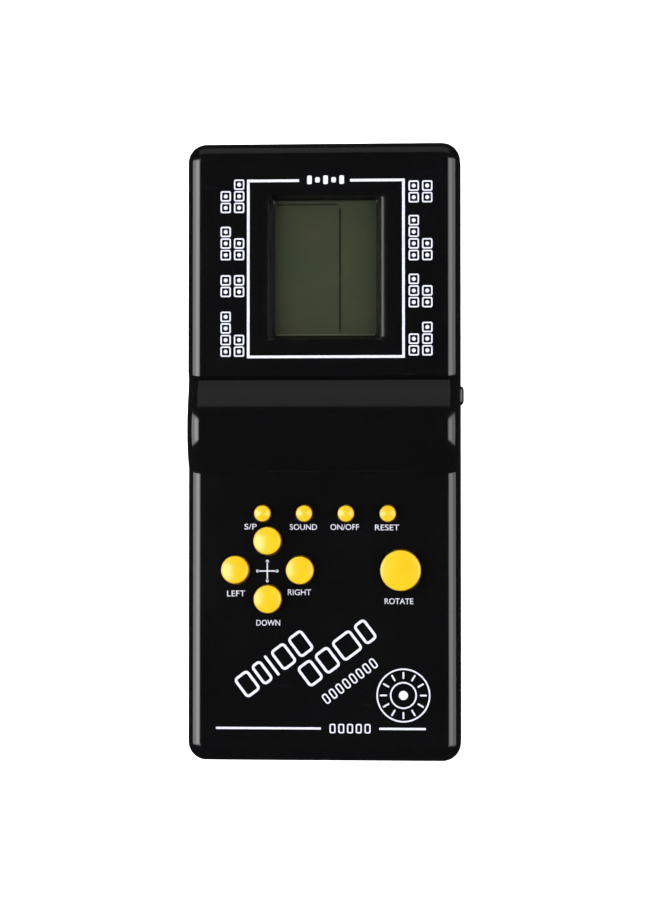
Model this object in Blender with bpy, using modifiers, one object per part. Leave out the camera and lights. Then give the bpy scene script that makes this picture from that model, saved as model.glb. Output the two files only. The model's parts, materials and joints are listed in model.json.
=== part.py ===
"""Handheld LCD game with a cross roll in the middle, lying on its flat back.

Metres. +Z is the front, +Y the top edge, +X the right-hand side, and the origin is the middle of the back.
"""

import math

import bmesh
import bpy
from mathutils import Matrix, Vector

# Case outline
HALF_WIDTH = 0.041
HALF_LENGTH = 0.0925
PLAN_RADIUS = 0.0055
FRONT_EDGE = 0.0042  # rounding of the front's rim
BACK_EDGE = 0.002  # rounding of the back's rim
WALL = 0.002
DRAFT = 0.03  # how far a side wall leans in for each unit of height
BACK_RIM = 0.0092  # height of the back half's rim
FRONT_RIM = 0.0095  # height of the front half's rim

# Front face, from the top edge to the bottom edge
SCREEN_FACE = 0.0224
HOLLOW_START = (0.0224, SCREEN_FACE)  # (y, z) where the screen slab ends
HOLLOW_FLOOR = (0.0212, 0.0212)
ROLL_TOP_EDGE = (0.0186, 0.0221)
ROLL_CREST = (0.0065, 0.026)
ROLL_BOTTOM_EDGE = (-0.0066, 0.020)
KEY_FACE = 0.020
ROLL_STEPS = 5  # facets on each side of the crest

# Strap lug on the right-hand side
LUG_LOW = (0.0395, 0.01395, 0.0103)
LUG_HIGH = (0.0418, 0.01965, 0.0165)
LUG_ROUND = 0.0009

# Display
SCREEN_CENTRE = (0.0005, 0.0549)
RECESS_MOUTH = (0.0392, 0.0440)  # width, height at the face
VIEW_AREA = (0.0303, 0.0405)
BEZEL_BACK = 0.0184
BEZEL_RIM = 0.003
LENS_SIZE = (0.0360, 0.0460)
LENS_Z = (0.0171, 0.0181)
LCD_SIZE = (0.0360, 0.0470)
LCD_Z = (0.0145, 0.0168)
HOLDER_SIZE = (0.0426, 0.0536)
HOLDER_Z = (0.0118, 0.0168)
HOLDER_BAR = 0.002  # between the zebra strip's slot and the holder's open middle
HOLDER_RIM = 0.003
LCD_PLAY = 0.0003
ZEBRA_SIZE = (0.0320, 0.0026)

# Circuit board
BOARD_Z = (0.0099, 0.0115)
BOARD_OUTLINE = [
    (-0.031, -0.077),
    (0.031, -0.077),
    (0.031, -0.031),
    (0.038, -0.027),
    (0.038, 0.0283),
    (0.031, 0.0295),
    (0.031, 0.082),
    (-0.031, 0.082),
    (-0.031, 0.0265),
    (0.0303, 0.0265),
    (0.0303, -0.012),
    (-0.031, -0.012),
]
BOARD_SCREWS = [(-0.027, 0.077), (0.027, 0.077), (-0.026, -0.058), (0.026, -0.058)]
CASE_SCREWS = [(x, y) for y in (0.085, 0.034, -0.085) for x in (-0.035, 0.035)]
CHIP_AT = (-0.002, 0.052)
CAPACITOR_AT = (0.016, 0.034)
CAPACITOR_RADIUS = 0.0025
CAPACITOR_HALF = 0.004  # half its length

# Keys: name, x, y, cap radius
PAD_CENTRE = (-0.0166, -0.0353)
PAD_REACH = (0.0096, 0.0086)
SMALL_CAP = 0.0024
PAD_CAP = 0.0041
ROTATE_CAP = 0.006
SMALL_ROW_START = (-0.01815, -0.01845)
SMALL_ROW_PITCH = 0.01242
SMALL_KEYS = ["start_pause", "sound", "on_off", "reset"]
KEYS = [
    *(
        (name, SMALL_ROW_START[0] + k * SMALL_ROW_PITCH, SMALL_ROW_START[1], SMALL_CAP)
        for k, name in enumerate(SMALL_KEYS)
    ),
    ("up", PAD_CENTRE[0], PAD_CENTRE[1] + PAD_REACH[1], PAD_CAP),
    ("left", PAD_CENTRE[0] - PAD_REACH[0], PAD_CENTRE[1], PAD_CAP),
    ("right", PAD_CENTRE[0] + PAD_REACH[0], PAD_CENTRE[1], PAD_CAP),
    ("down", PAD_CENTRE[0], PAD_CENTRE[1] - PAD_REACH[1], PAD_CAP),
    ("rotate", 0.0229, PAD_CENTRE[1], ROTATE_CAP),
]
CAP_TOP = 0.0232
CAP_EDGE = 0.0008
FLANGE_Z = (0.0166, 0.0176)
FLANGE_REACH = 0.0007
KEY_CLEARANCE = 0.00035
SHEET_Z = (0.0118, 0.0128)
SHEET_LOW = (-0.0325, -0.0505)
SHEET_HIGH = (0.0302, -0.0146)
DOME_TOP = 0.0163
DOME_SPREAD = 0.0005  # a dome's foot beyond its cap's rim
DOME_LEAN = 0.0003
DOME_WALL = 0.0008
DOME_CEILING = 0.0139
PILL_Z = (0.0128, 0.0136)
PILL_RADIUS = 0.0025
PILL_MARGIN = 0.0009  # from a small key's cap to its pill, where the pill is narrower

# Battery compartment
BAY_LOW = (-0.0325, -0.0086)
BAY_HIGH = (0.0275, 0.0235)
BAY_ROOF = 0.0167
TUB_WALL = 0.002
TUB_TOP = 0.0176
CELL_RADIUS = 0.00725
CELL_LENGTH = 0.0495
CELL_EDGE = 0.0006
NUB_RADIUS = 0.00275
NUB_LENGTH = 0.001
CELL_Z = 0.0092
CELL_LOWER_Y = -0.0006
CELL_UPPER_Y = 0.0153
SPRING_WIRE = 0.00035
SPRING_RADII = (0.0042, 0.0028)
PLATE_GAP = 0.0003
PLATE_THICK = 0.0004
PLATE_HALF = 0.0045
PLATE_Z = (0.003, 0.0162)
TAB_TOP = 0.0202
TAB_HALF = 0.0015

# Battery door, hooked at its top edge
DOOR_GAP = 0.0003
DOOR_THICK = 0.0016
DOOR_TAB_X = (-0.0180, 0.0130)
DOOR_TAB_HALF = 0.004
DOOR_TAB_Z = (0.00235, 0.00345)
DOOR_TAB_REACH = 0.0017
DOOR_SWING_ROOM = 0.00115  # height that the slot leaves over a hook as it turns
DOOR_NECK_Y = (-0.0019, -0.0006)  # the hooks' necks, measured from the hinge line
TONGUE_HALF = 0.0055
TONGUE_THICK = 0.001
TONGUE_TOP = 0.005
NOTCH_RADIUS = 0.008
NOTCH_AXIS = (-0.0022, -0.0072)  # (y, z) from the bay's lower edge

# Screws and their posts
POST_RADIUS = 0.0029
POST_FOOT = 0.0066
PILOT_RADIUS = 0.0015
PILOT_SPARE = 0.001  # depth of a pilot hole past its screw's tip
TUBE_RADIUS = 0.0037
TUBE_TOP = 0.0062
HEAD_POCKET = 0.0027
HEAD_POCKET_DEPTH = 0.003
CASE_SCREW_HEAD = (0.0012, 0.0027)
CASE_SCREW_TIP = 0.0115
BOARD_POST_RADIUS = 0.0023
BOARD_SCREW_TIP = 0.0155
BOARD_SCREW_HEAD = 0.0014
SCREW_HEAD_RADIUS = 0.0023
SCREW_RADIUS = 0.0012
SCREW_TAPER = 0.0012  # length of the point

# Sounder
SOUNDER_CENTRE = (0.0, -0.060)
SOUNDER_RADIUS = 0.010
SOUNDER_SHEET = 0.0003
DISC_Z = 0.0043
CERAMIC_Z = 0.0049
SOUNDER_RING_TOP = 0.004
SOUNDER_RING_WIDTH = 0.001  # beyond the disc
SOUNDER_LEDGE = 0.0008  # width of the ring under the disc's edge
SOUND_HOLE = 0.0009
SOUND_HOLE_RING = 0.0045

GAP = 0.0003  # clearance between pieces that touch
HAIR = 0.00005  # keeps a cutter's face out of the plane of a wall's face
OVERSHOOT = 0.001  # how far a cutter runs past the face that it opens
WIRE_RADIUS = 0.0006

BLACK_GLOSS = ("black_gloss_plastic", (0.006, 0.006, 0.007), 0.22, 0.0)
BLACK_MATTE = ("black_matte_plastic", (0.012, 0.012, 0.013), 0.6, 0.0)
YELLOW = ("yellow_plastic", (0.98, 0.66, 0.02), 0.35, 0.0)
CLEAR = ("clear_lens", (0.55, 0.58, 0.5), 0.05, 0.0)
LCD_GREEN = ("lcd_glass", (0.05, 0.055, 0.03), 0.12, 0.0)
WHITE = ("white_plastic", (0.75, 0.75, 0.72), 0.5, 0.0)
RUBBER = ("silicone_rubber", (0.45, 0.45, 0.43), 0.7, 0.0)
CARBON = ("carbon_rubber", (0.02, 0.02, 0.02), 0.8, 0.0)
BOARD = ("circuit_board", (0.28, 0.16, 0.05), 0.5, 0.0)
EPOXY = ("black_epoxy", (0.01, 0.01, 0.01), 0.3, 0.0)
STEEL = ("nickel_steel", (0.6, 0.6, 0.58), 0.3, 1.0)
BRASS = ("brass", (0.72, 0.5, 0.2), 0.3, 1.0)
CERAMIC = ("silvered_ceramic", (0.7, 0.7, 0.66), 0.4, 0.3)
CELL_SLEEVE = ("cell_sleeve", (0.25, 0.27, 0.3), 0.35, 0.2)
CAN = ("capacitor_sleeve", (0.03, 0.05, 0.16), 0.4, 0.0)
RED_WIRE = ("red_insulation", (0.5, 0.02, 0.02), 0.5, 0.0)
BLACK_WIRE = ("black_insulation", (0.01, 0.01, 0.01), 0.5, 0.0)


def clear_scene():
    for obj in list(bpy.data.objects):
        bpy.data.objects.remove(obj, do_unlink=True)


def new_collection(name):
    collection = bpy.data.collections.new(name)
    bpy.context.scene.collection.children.link(collection)
    return collection


clear_scene()
PARTS = new_collection("handheld_lcd_game")
CUTTERS = new_collection("cutters")


def material(finish):
    name, colour, roughness, metallic = finish
    found = bpy.data.materials.get(name)
    if found:
        return found
    made = bpy.data.materials.new(name)
    made.use_nodes = True
    shader = made.node_tree.nodes["Principled BSDF"]
    shader.inputs["Base Color"].default_value = (*colour, 1.0)
    shader.inputs["Roughness"].default_value = roughness
    shader.inputs["Metallic"].default_value = metallic
    return made


def place(obj, finish=None):
    """Links an object as a part, or as a hidden cutter if it has no finish."""
    if finish:
        PARTS.objects.link(obj)
        obj.data.materials.append(material(finish))
    else:
        CUTTERS.objects.link(obj)
        obj.hide_render = True
        obj.display_type = "WIRE"
    return obj


def mesh_piece(name, bm, finish=None, location=(0, 0, 0)):
    mesh = bpy.data.meshes.new(name)
    bm.to_mesh(mesh)
    bm.free()
    obj = bpy.data.objects.new(name, mesh)
    obj.location = location
    return place(obj, finish)


def smooth(obj):
    obj.data.shade_smooth()
    obj.data.set_sharp_from_angle(angle=math.radians(35))
    return obj


def add_box(bm, low, high):
    low, high = Vector(low), Vector(high)
    size = Matrix.Diagonal((*(high - low), 1.0))
    at = Matrix.Translation((low + high) / 2)
    return bmesh.ops.create_cube(bm, size=1.0, matrix=at @ size)["verts"]


def add_cone(bm, centre, z_low, z_high, radius_low, radius_high, sides):
    at = Matrix.Translation((*centre, (z_low + z_high) / 2))
    return bmesh.ops.create_cone(
        bm,
        cap_ends=True,
        segments=sides,
        radius1=radius_low,
        radius2=radius_high,
        depth=z_high - z_low,
        matrix=at,
    )["verts"]


def add_cylinder(bm, centre, z_low, z_high, radius, sides):
    return add_cone(bm, centre, z_low, z_high, radius, radius, sides)


def box_piece(name, low, high, finish):
    bm = bmesh.new()
    add_box(bm, low, high)
    return mesh_piece(name, bm, finish)


def boolean(obj, operation, tool):
    modifier = obj.modifiers.new(f"{operation.lower()} {tool.name}", "BOOLEAN")
    modifier.operation = operation
    modifier.object = tool


def rounded(obj, width, segments, by_weight=False):
    """Rounds the edges that carry a bevel weight, or else every edge of 80 degrees or more."""
    modifier = obj.modifiers.new("rounded edges", "BEVEL")
    modifier.width = width
    modifier.segments = segments
    modifier.limit_method = "WEIGHT" if by_weight else "ANGLE"
    modifier.angle_limit = math.radians(80)
    modifier.use_clamp_overlap = False


def weigh_upright_corners(bm):
    """Gives a bevel weight to the four upright corner edges of an outline."""
    weight = bm.edges.layers.float.new("bevel_weight_edge")
    for edge in bm.edges:
        ends = [v.co for v in edge.verts]
        at_corner = all(
            abs(abs(co.x) - HALF_WIDTH) < 0.001 and abs(abs(co.y) - HALF_LENGTH) < 0.001
            for co in ends
        )
        if at_corner and abs(ends[0].z - ends[1].z) > 0.005:
            edge[weight] = 1.0


def hollow(obj):
    modifier = obj.modifiers.new("wall", "SOLIDIFY")
    modifier.thickness = WALL
    modifier.offset = -1.0
    modifier.use_even_offset = True


def turned(name, profile, steps, finish=None, location=(0, 0, 0), rotation=(0, 0, 0)):
    """A body of revolution from (radius, height) points that run down its outer side."""
    bm = bmesh.new()
    verts = [bm.verts.new((radius, 0.0, height)) for radius, height in profile]
    for upper, lower in zip(verts, verts[1:]):
        bm.edges.new((upper, lower))
    obj = mesh_piece(name, bm, finish, location)
    obj.rotation_euler = rotation
    screw = obj.modifiers.new("turn", "SCREW")
    screw.steps = steps
    screw.render_steps = steps
    screw.use_merge_vertices = True
    screw.merge_threshold = 0.00001
    return obj


def flat_plate(name, outlines, z_low, z_high, finish, rotation=(0, 0, 0), location=(0, 0)):
    """A sheet cut to the first outline, with the others as holes."""
    curve = bpy.data.curves.new(name, "CURVE")
    curve.dimensions = "2D"
    curve.fill_mode = "BOTH"
    curve.extrude = (z_high - z_low) / 2
    for outline in outlines:
        spline = curve.splines.new("POLY")
        spline.points.add(len(outline) - 1)
        for point, (x, y) in zip(spline.points, outline):
            point.co = (x, y, 0.0, 1.0)
        spline.use_cyclic_u = True
    obj = bpy.data.objects.new(name, curve)
    obj.rotation_euler = rotation
    middle = (z_low + z_high) / 2
    # A sheet that is stood on edge by its rotation faces along X, so its thickness lies there.
    obj.location = (middle, *location) if rotation[0] else (*location, middle)
    return place(obj, finish)


def circle(centre, radius, sides):
    turn = 2 * math.pi / sides
    return [
        (centre[0] + radius * math.cos(k * turn), centre[1] + radius * math.sin(k * turn))
        for k in range(sides)
    ]


def rod(name, points, radius, finish):
    """A round wire along the points."""
    curve = bpy.data.curves.new(name, "CURVE")
    curve.dimensions = "3D"
    curve.bevel_depth = radius
    curve.bevel_resolution = 2
    curve.use_fill_caps = True
    spline = curve.splines.new("POLY")
    spline.points.add(len(points) - 1)
    for point, co in zip(spline.points, points):
        point.co = (*co, 1.0)
    return place(bpy.data.objects.new(name, curve), finish)


def smooth_path(points, steps=3):
    """Points along the Catmull-Rom curve through the given ones."""
    knots = [Vector(p) for p in points]
    knots = [2 * knots[0] - knots[1], *knots, 2 * knots[-1] - knots[-2]]
    path = []
    for a, b, c, d in zip(knots, knots[1:], knots[2:], knots[3:]):
        for k in range(steps):
            t = k / steps
            square = (2 * a - 5 * b + 4 * c - d) * t**2
            cube = (3 * b - a - 3 * c + d) * t**3
            path.append((2 * b + (c - a) * t + square + cube) / 2)
    return [*path, knots[-2]]


def arc_to_crest(edge, steps):
    """(y, z) points from an edge of the roll up to, but without, its crest."""
    reach = edge[0] - ROLL_CREST[0]
    drop = ROLL_CREST[1] - edge[1]
    radius = (reach**2 + drop**2) / (2 * drop)
    whole = math.asin(reach / radius)
    angles = [whole * (1 - k / steps) for k in range(steps)]
    return [
        (ROLL_CREST[0] + radius * math.sin(a), ROLL_CREST[1] - radius * (1 - math.cos(a)))
        for a in angles
    ]


def lean(z):
    return DRAFT * (z - FRONT_RIM)


def front_outline():
    """(y, z) points of the front's outer face, from the top end's rim to the bottom end's."""
    return [
        (HALF_LENGTH, FRONT_RIM),
        (HALF_LENGTH - lean(SCREEN_FACE), SCREEN_FACE),
        HOLLOW_START,
        HOLLOW_FLOOR,
        *arc_to_crest(ROLL_TOP_EDGE, ROLL_STEPS),
        ROLL_CREST,
        *reversed(arc_to_crest(ROLL_BOTTOM_EDGE, ROLL_STEPS)),
        (-HALF_LENGTH + lean(KEY_FACE), KEY_FACE),
        (-HALF_LENGTH, FRONT_RIM),
    ]


def front_skin():
    """The front's outer face as an open surface: its side outline drawn out across the width."""
    bm = bmesh.new()
    outline = bm.faces.new(
        [bm.verts.new((-HALF_WIDTH, y, z)) for y, z in front_outline()]
    )
    drawn = bmesh.ops.extrude_face_region(bm, geom=[outline])["geom"]
    moved = [v for v in drawn if isinstance(v, bmesh.types.BMVert)]
    bmesh.ops.translate(bm, verts=moved, vec=(2 * HALF_WIDTH, 0, 0))
    for vert in bm.verts:
        vert.co.x -= math.copysign(lean(vert.co.z), vert.co.x)
    rim = [
        f for f in bm.faces if all(abs(v.co.z - FRONT_RIM) < 1e-6 for v in f.verts)
    ]
    bmesh.ops.delete(bm, geom=rim, context="FACES_ONLY")
    bmesh.ops.recalc_face_normals(bm, faces=bm.faces)
    # An open surface has no inside, so its normals are turned to face away from its middle.
    middle = Vector((0, 0, FRONT_RIM))
    crest = max(bm.faces, key=lambda f: f.calc_center_median().z)
    if crest.normal.dot(crest.calc_center_median() - middle) < 0:
        bmesh.ops.reverse_faces(bm, faces=bm.faces)
    weigh_upright_corners(bm)
    return bm


def face_height(y):
    return SCREEN_FACE if y > 0 else KEY_FACE


def key_sides(radius):
    return 20 if radius < PAD_CAP else 24


def front_additions():
    """Screw posts, the bezel behind the window and the strap lug, which are moulded onto the front."""
    bm = bmesh.new()
    x, y = SCREEN_CENTRE
    half_x = VIEW_AREA[0] / 2 + BEZEL_RIM
    half_y = VIEW_AREA[1] / 2 + BEZEL_RIM
    top = SCREEN_FACE - WALL / 2
    add_box(bm, (x - half_x, y - half_y, BEZEL_BACK), (x + half_x, y + half_y, top))
    for at in CASE_SCREWS:
        add_cylinder(bm, at, POST_FOOT, face_height(at[1]) - WALL / 2, POST_RADIUS, 16)
    for at in BOARD_SCREWS:
        add_cylinder(
            bm, at, BOARD_Z[1] + GAP, face_height(at[1]) - WALL / 2, BOARD_POST_RADIUS, 14
        )
    lug = add_box(bm, LUG_LOW, LUG_HIGH)
    edges = {
        e
        for v in lug
        for e in v.link_edges
        if all(end.co.x > LUG_LOW[0] + 0.001 for end in e.verts)
    }
    bmesh.ops.bevel(
        bm, geom=list(edges), offset=LUG_ROUND, segments=2, affect="EDGES", profile=0.5
    )
    return mesh_piece("front_additions", bm)


def add_recess(bm):
    """The window's four-sided funnel, from its wide mouth down to the view area."""
    x, y = SCREEN_CENTRE
    low = BEZEL_BACK - OVERSHOOT
    high = SCREEN_FACE + OVERSHOOT
    growth = OVERSHOOT / (SCREEN_FACE - BEZEL_BACK)
    for vert in add_box(bm, (-0.5, -0.5, low), (0.5, 0.5, high)):
        up = vert.co.z > SCREEN_FACE
        for axis, middle in ((0, x), (1, y)):
            grown = RECESS_MOUTH[axis] - VIEW_AREA[axis]
            mouth = RECESS_MOUTH[axis] + grown * growth
            back = VIEW_AREA[axis] - grown * growth
            vert.co[axis] = middle + vert.co[axis] * (mouth if up else back)


def front_openings():
    bm = bmesh.new()
    add_recess(bm)
    below = KEY_FACE - WALL - OVERSHOOT
    above = KEY_FACE + OVERSHOOT
    for _, x, y, radius in KEYS:
        add_cylinder(bm, (x, y), below, above, radius + KEY_CLEARANCE, key_sides(radius))
    for at in CASE_SCREWS:
        add_cylinder(bm, at, POST_FOOT - OVERSHOOT, CASE_SCREW_TIP + PILOT_SPARE, PILOT_RADIUS, 10)
    for at in BOARD_SCREWS:
        add_cylinder(bm, at, BOARD_Z[1] - OVERSHOOT, BOARD_SCREW_TIP + PILOT_SPARE, PILOT_RADIUS, 10)
    return mesh_piece("front_openings", bm)


def make_front_shell():
    shell = mesh_piece("front_shell", front_skin(), BLACK_GLOSS)
    rounded(shell, PLAN_RADIUS, 4, by_weight=True)
    rounded(shell, FRONT_EDGE, 3)
    hollow(shell)
    boolean(shell, "UNION", front_additions())
    boolean(shell, "DIFFERENCE", front_openings())


def back_skin():
    bm = bmesh.new()
    add_box(bm, (-HALF_WIDTH, -HALF_LENGTH, 0), (HALF_WIDTH, HALF_LENGTH, BACK_RIM))
    weigh_upright_corners(bm)
    rim = [f for f in bm.faces if f.calc_center_median().z > BACK_RIM - 1e-6]
    bmesh.ops.delete(bm, geom=rim, context="FACES_ONLY")
    return bm


def back_additions():
    """The battery tub, the screw tubes and the ring that holds the sounder."""
    bm = bmesh.new()
    low = (BAY_LOW[0] - TUB_WALL, BAY_LOW[1] - TUB_WALL, WALL / 2)
    high = (BAY_HIGH[0] + TUB_WALL, BAY_HIGH[1] + TUB_WALL, TUB_TOP)
    add_box(bm, low, high)
    for at in CASE_SCREWS:
        add_cylinder(bm, at, WALL / 2, TUBE_TOP, TUBE_RADIUS, 16)
    ring = SOUNDER_RADIUS + SOUNDER_RING_WIDTH
    add_cylinder(bm, SOUNDER_CENTRE, WALL / 2, SOUNDER_RING_TOP, ring, 28)
    return mesh_piece("back_additions", bm)


def tab_slot(y):
    """The corners of the slot in the tub's roof that a contact's tab comes up through."""
    far_x = BAY_LOW[0] + PLATE_GAP + PLATE_THICK + GAP
    low = (BAY_LOW[0] + HAIR, y - TAB_HALF - GAP, BAY_ROOF - OVERSHOOT)
    return low, (far_x, y + TAB_HALF + GAP, TUB_TOP + OVERSHOOT)


def back_openings():
    bm = bmesh.new()
    add_box(bm, (*BAY_LOW, -OVERSHOOT), (*BAY_HIGH, BAY_ROOF))
    for at in CASE_SCREWS:
        add_cylinder(bm, at, -OVERSHOOT, HEAD_POCKET_DEPTH, HEAD_POCKET, 16)
    top = SOUNDER_RING_TOP + OVERSHOOT
    add_cylinder(bm, SOUNDER_CENTRE, WALL + HAIR, top, SOUNDER_RADIUS - SOUNDER_LEDGE, 28)
    return mesh_piece("back_openings", bm)


def back_small_openings():
    """Screw holes, sound holes, the slots for the contact tabs and the door's hooks, and the finger notch."""
    bm = bmesh.new()
    for at in CASE_SCREWS:
        low = HEAD_POCKET_DEPTH - OVERSHOOT
        add_cylinder(bm, at, low, TUBE_TOP + OVERSHOOT, PILOT_RADIUS, 10)
    for at in [SOUNDER_CENTRE, *circle(SOUNDER_CENTRE, SOUND_HOLE_RING, 6)]:
        add_cylinder(bm, at, -OVERSHOOT, WALL + OVERSHOOT / 2, SOUND_HOLE, 8)
    for y in (CELL_LOWER_Y, CELL_UPPER_Y):
        add_box(bm, *tab_slot(y))
    for x in DOOR_TAB_X:
        half = DOOR_TAB_HALF + GAP
        low = (x - half, BAY_HIGH[1] - HAIR * 4, WALL + HAIR)
        high = (x + half, BAY_HIGH[1] + TUB_WALL + OVERSHOOT / 2, DOOR_TAB_Z[1] + DOOR_SWING_ROOM)
        add_box(bm, low, high)
    notch = add_cylinder(bm, (0, 0), -TONGUE_HALF, TONGUE_HALF, NOTCH_RADIUS, 24)
    middle = (BAY_LOW[0] + BAY_HIGH[0]) / 2
    turn = Matrix.Rotation(math.radians(90), 4, "Y")
    bmesh.ops.transform(bm, matrix=turn, verts=notch)
    bmesh.ops.translate(bm, verts=notch, vec=(middle, BAY_LOW[1] + NOTCH_AXIS[0], NOTCH_AXIS[1]))
    return mesh_piece("back_small_openings", bm)


def make_back_shell():
    shell = mesh_piece("back_shell", back_skin(), BLACK_MATTE)
    rounded(shell, PLAN_RADIUS, 4, by_weight=True)
    rounded(shell, BACK_EDGE, 2)
    hollow(shell)
    boolean(shell, "UNION", back_additions())
    boolean(shell, "DIFFERENCE", back_openings())
    boolean(shell, "DIFFERENCE", back_small_openings())


def make_battery_door():
    """The door turns about its top edge, where its hooks reach under the back, so its origin is there."""
    hinge = Vector(((BAY_LOW[0] + BAY_HIGH[0]) / 2, BAY_HIGH[1], 0.0))
    half_x = (BAY_HIGH[0] - BAY_LOW[0]) / 2 - DOOR_GAP
    far_y = BAY_LOW[1] + DOOR_GAP - hinge.y
    bm = bmesh.new()
    add_box(bm, (-half_x, far_y, 0), (half_x, -DOOR_GAP, DOOR_THICK))
    door = mesh_piece("battery_door", bm, BLACK_MATTE, hinge)
    extras = bmesh.new()
    for x in DOOR_TAB_X:
        low = (x - hinge.x - DOOR_TAB_HALF, DOOR_NECK_Y[0], DOOR_THICK / 2)
        add_box(extras, low, (x - hinge.x + DOOR_TAB_HALF, DOOR_NECK_Y[1], DOOR_TAB_Z[1]))
    tongue_y = far_y + DOOR_GAP
    low = (-TONGUE_HALF, tongue_y, DOOR_THICK / 2)
    add_box(extras, low, (TONGUE_HALF, tongue_y + TONGUE_THICK, TONGUE_TOP))
    boolean(door, "UNION", mesh_piece("door_necks", extras, None, hinge))
    hooks = bmesh.new()
    neck_y = sum(DOOR_NECK_Y) / 2
    for x in DOOR_TAB_X:
        half = DOOR_TAB_HALF - 2 * HAIR
        low = (x - hinge.x - half, neck_y, DOOR_TAB_Z[0])
        add_box(hooks, low, (x - hinge.x + half, DOOR_TAB_REACH, DOOR_TAB_Z[1] - 2 * HAIR))
    boolean(door, "UNION", mesh_piece("door_hooks", hooks, None, hinge))


def centred_box(name, size, z_range, finish, centre=SCREEN_CENTRE):
    low = (centre[0] - size[0] / 2, centre[1] - size[1] / 2, z_range[0])
    high = (centre[0] + size[0] / 2, centre[1] + size[1] / 2, z_range[1])
    return box_piece(name, low, high, finish)


def zebra_centre():
    """The rubber connector lies under the glass's lower edge."""
    return SCREEN_CENTRE[0], SCREEN_CENTRE[1] - LCD_SIZE[1] / 2 + 0.0028


def make_display():
    centred_box("window_lens", LENS_SIZE, LENS_Z, CLEAR)
    centred_box("lcd_panel", LCD_SIZE, LCD_Z, LCD_GREEN)
    zebra_z = (BOARD_Z[1] + GAP, LCD_Z[0] - GAP)
    centred_box("zebra_strip", ZEBRA_SIZE, zebra_z, RUBBER, zebra_centre())
    holder = centred_box("lcd_holder", HOLDER_SIZE, HOLDER_Z, WHITE)
    cut = bmesh.new()
    x, y = SCREEN_CENTRE
    half_x = LCD_SIZE[0] / 2 + LCD_PLAY
    half_y = LCD_SIZE[1] / 2 + LCD_PLAY
    top = LCD_Z[1] + OVERSHOOT
    add_box(cut, (x - half_x, y - half_y, LCD_Z[0] - GAP), (x + half_x, y + half_y, top))
    boolean(holder, "DIFFERENCE", mesh_piece("holder_pocket", cut))
    through = bmesh.new()
    zebra_y = zebra_centre()[1]
    half_zebra = ZEBRA_SIZE[1] / 2 + GAP
    half_window = ZEBRA_SIZE[0] / 2 + GAP
    spans = (
        (zebra_y - half_zebra, zebra_y + half_zebra),
        (zebra_y + half_zebra + HOLDER_BAR, y + half_y - HOLDER_RIM),
    )
    for low_y, high_y in spans:
        low = (x - half_window, low_y, HOLDER_Z[0] - OVERSHOOT)
        add_box(through, low, (x + half_window, high_y, LCD_Z[0]))
    boolean(holder, "DIFFERENCE", mesh_piece("holder_windows", through))


def make_board():
    holes = [circle(at, PILOT_RADIUS + 0.0001, 10) for at in BOARD_SCREWS]
    flat_plate("main_pcb", [BOARD_OUTLINE, *holes], *BOARD_Z, BOARD)
    under = BOARD_Z[0] - GAP
    blob = [
        (0, under),
        (0.006, under),
        (0.0056, under - 0.0006),
        (0.004, under - 0.0013),
        (0.002, under - 0.0016),
        (0, under - 0.0017),
    ]
    smooth(turned("chip_blob", blob, 20, EPOXY, (*CHIP_AT, 0)))
    bm = bmesh.new()
    add_cylinder(bm, (0, 0), -CAPACITOR_HALF, CAPACITOR_HALF, CAPACITOR_RADIUS, 16)
    at = (*CAPACITOR_AT, under - CAPACITOR_RADIUS)
    capacitor = mesh_piece("filter_capacitor", bm, CAN, at)
    capacitor.rotation_euler = (0, math.radians(90), 0)
    smooth(capacitor)


def make_key(name, x, y, radius):
    """A cap with the flange that holds it under the case. It travels along its own Z axis."""
    top = CAP_TOP - FLANGE_Z[0]
    flange = FLANGE_Z[1] - FLANGE_Z[0]
    profile = [
        (0, top),
        (radius - CAP_EDGE, top),
        (radius - CAP_EDGE * 0.3, top - CAP_EDGE * 0.3),
        (radius, top - CAP_EDGE),
        (radius, flange),
        (radius + FLANGE_REACH, flange),
        (radius + FLANGE_REACH, 0),
        (0, 0),
    ]
    key = turned(f"key_{name}", profile, key_sides(radius), YELLOW, (x, y, FLANGE_Z[0]))
    smooth(key)
    bm = bmesh.new()
    pill_radius = min(PILL_RADIUS, radius - PILL_MARGIN)
    depth = FLANGE_Z[0]
    add_cylinder(bm, (0, 0), PILL_Z[0] - depth, PILL_Z[1] - depth, pill_radius, 12)
    pill = mesh_piece(f"contact_pill_{name}", bm, CARBON)
    pill.parent = key


def make_keypad_membrane():
    """One silicone sheet with a hollow dome under each key."""
    sheet = box_piece(
        "keypad_membrane", (*SHEET_LOW, SHEET_Z[0]), (*SHEET_HIGH, SHEET_Z[1]), RUBBER
    )
    domes = bmesh.new()
    hollows = bmesh.new()
    for _, x, y, radius in KEYS:
        foot = radius + DOME_SPREAD
        crown = radius - DOME_LEAN
        add_cone(domes, (x, y), sum(SHEET_Z) / 2, DOME_TOP, foot, crown, 16)
        low = SHEET_Z[0] - OVERSHOOT
        add_cone(hollows, (x, y), low, DOME_CEILING, foot - DOME_WALL, crown - DOME_LEAN, 16)
    boolean(sheet, "UNION", mesh_piece("dome_bodies", domes))
    boolean(sheet, "DIFFERENCE", mesh_piece("dome_hollows", hollows))


def screw_profile(tip, head_low, head_high):
    """A pan-head screw with its head at the bottom."""
    return [
        (0, tip),
        (SCREW_RADIUS / 2, tip - SCREW_TAPER / 4),
        (SCREW_RADIUS, tip - SCREW_TAPER),
        (SCREW_RADIUS, head_high),
        (SCREW_HEAD_RADIUS, head_high),
        (SCREW_HEAD_RADIUS, head_low + SCREW_TAPER / 2),
        (SCREW_HEAD_RADIUS * 0.7, head_low),
        (0, head_low),
    ]


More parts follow.
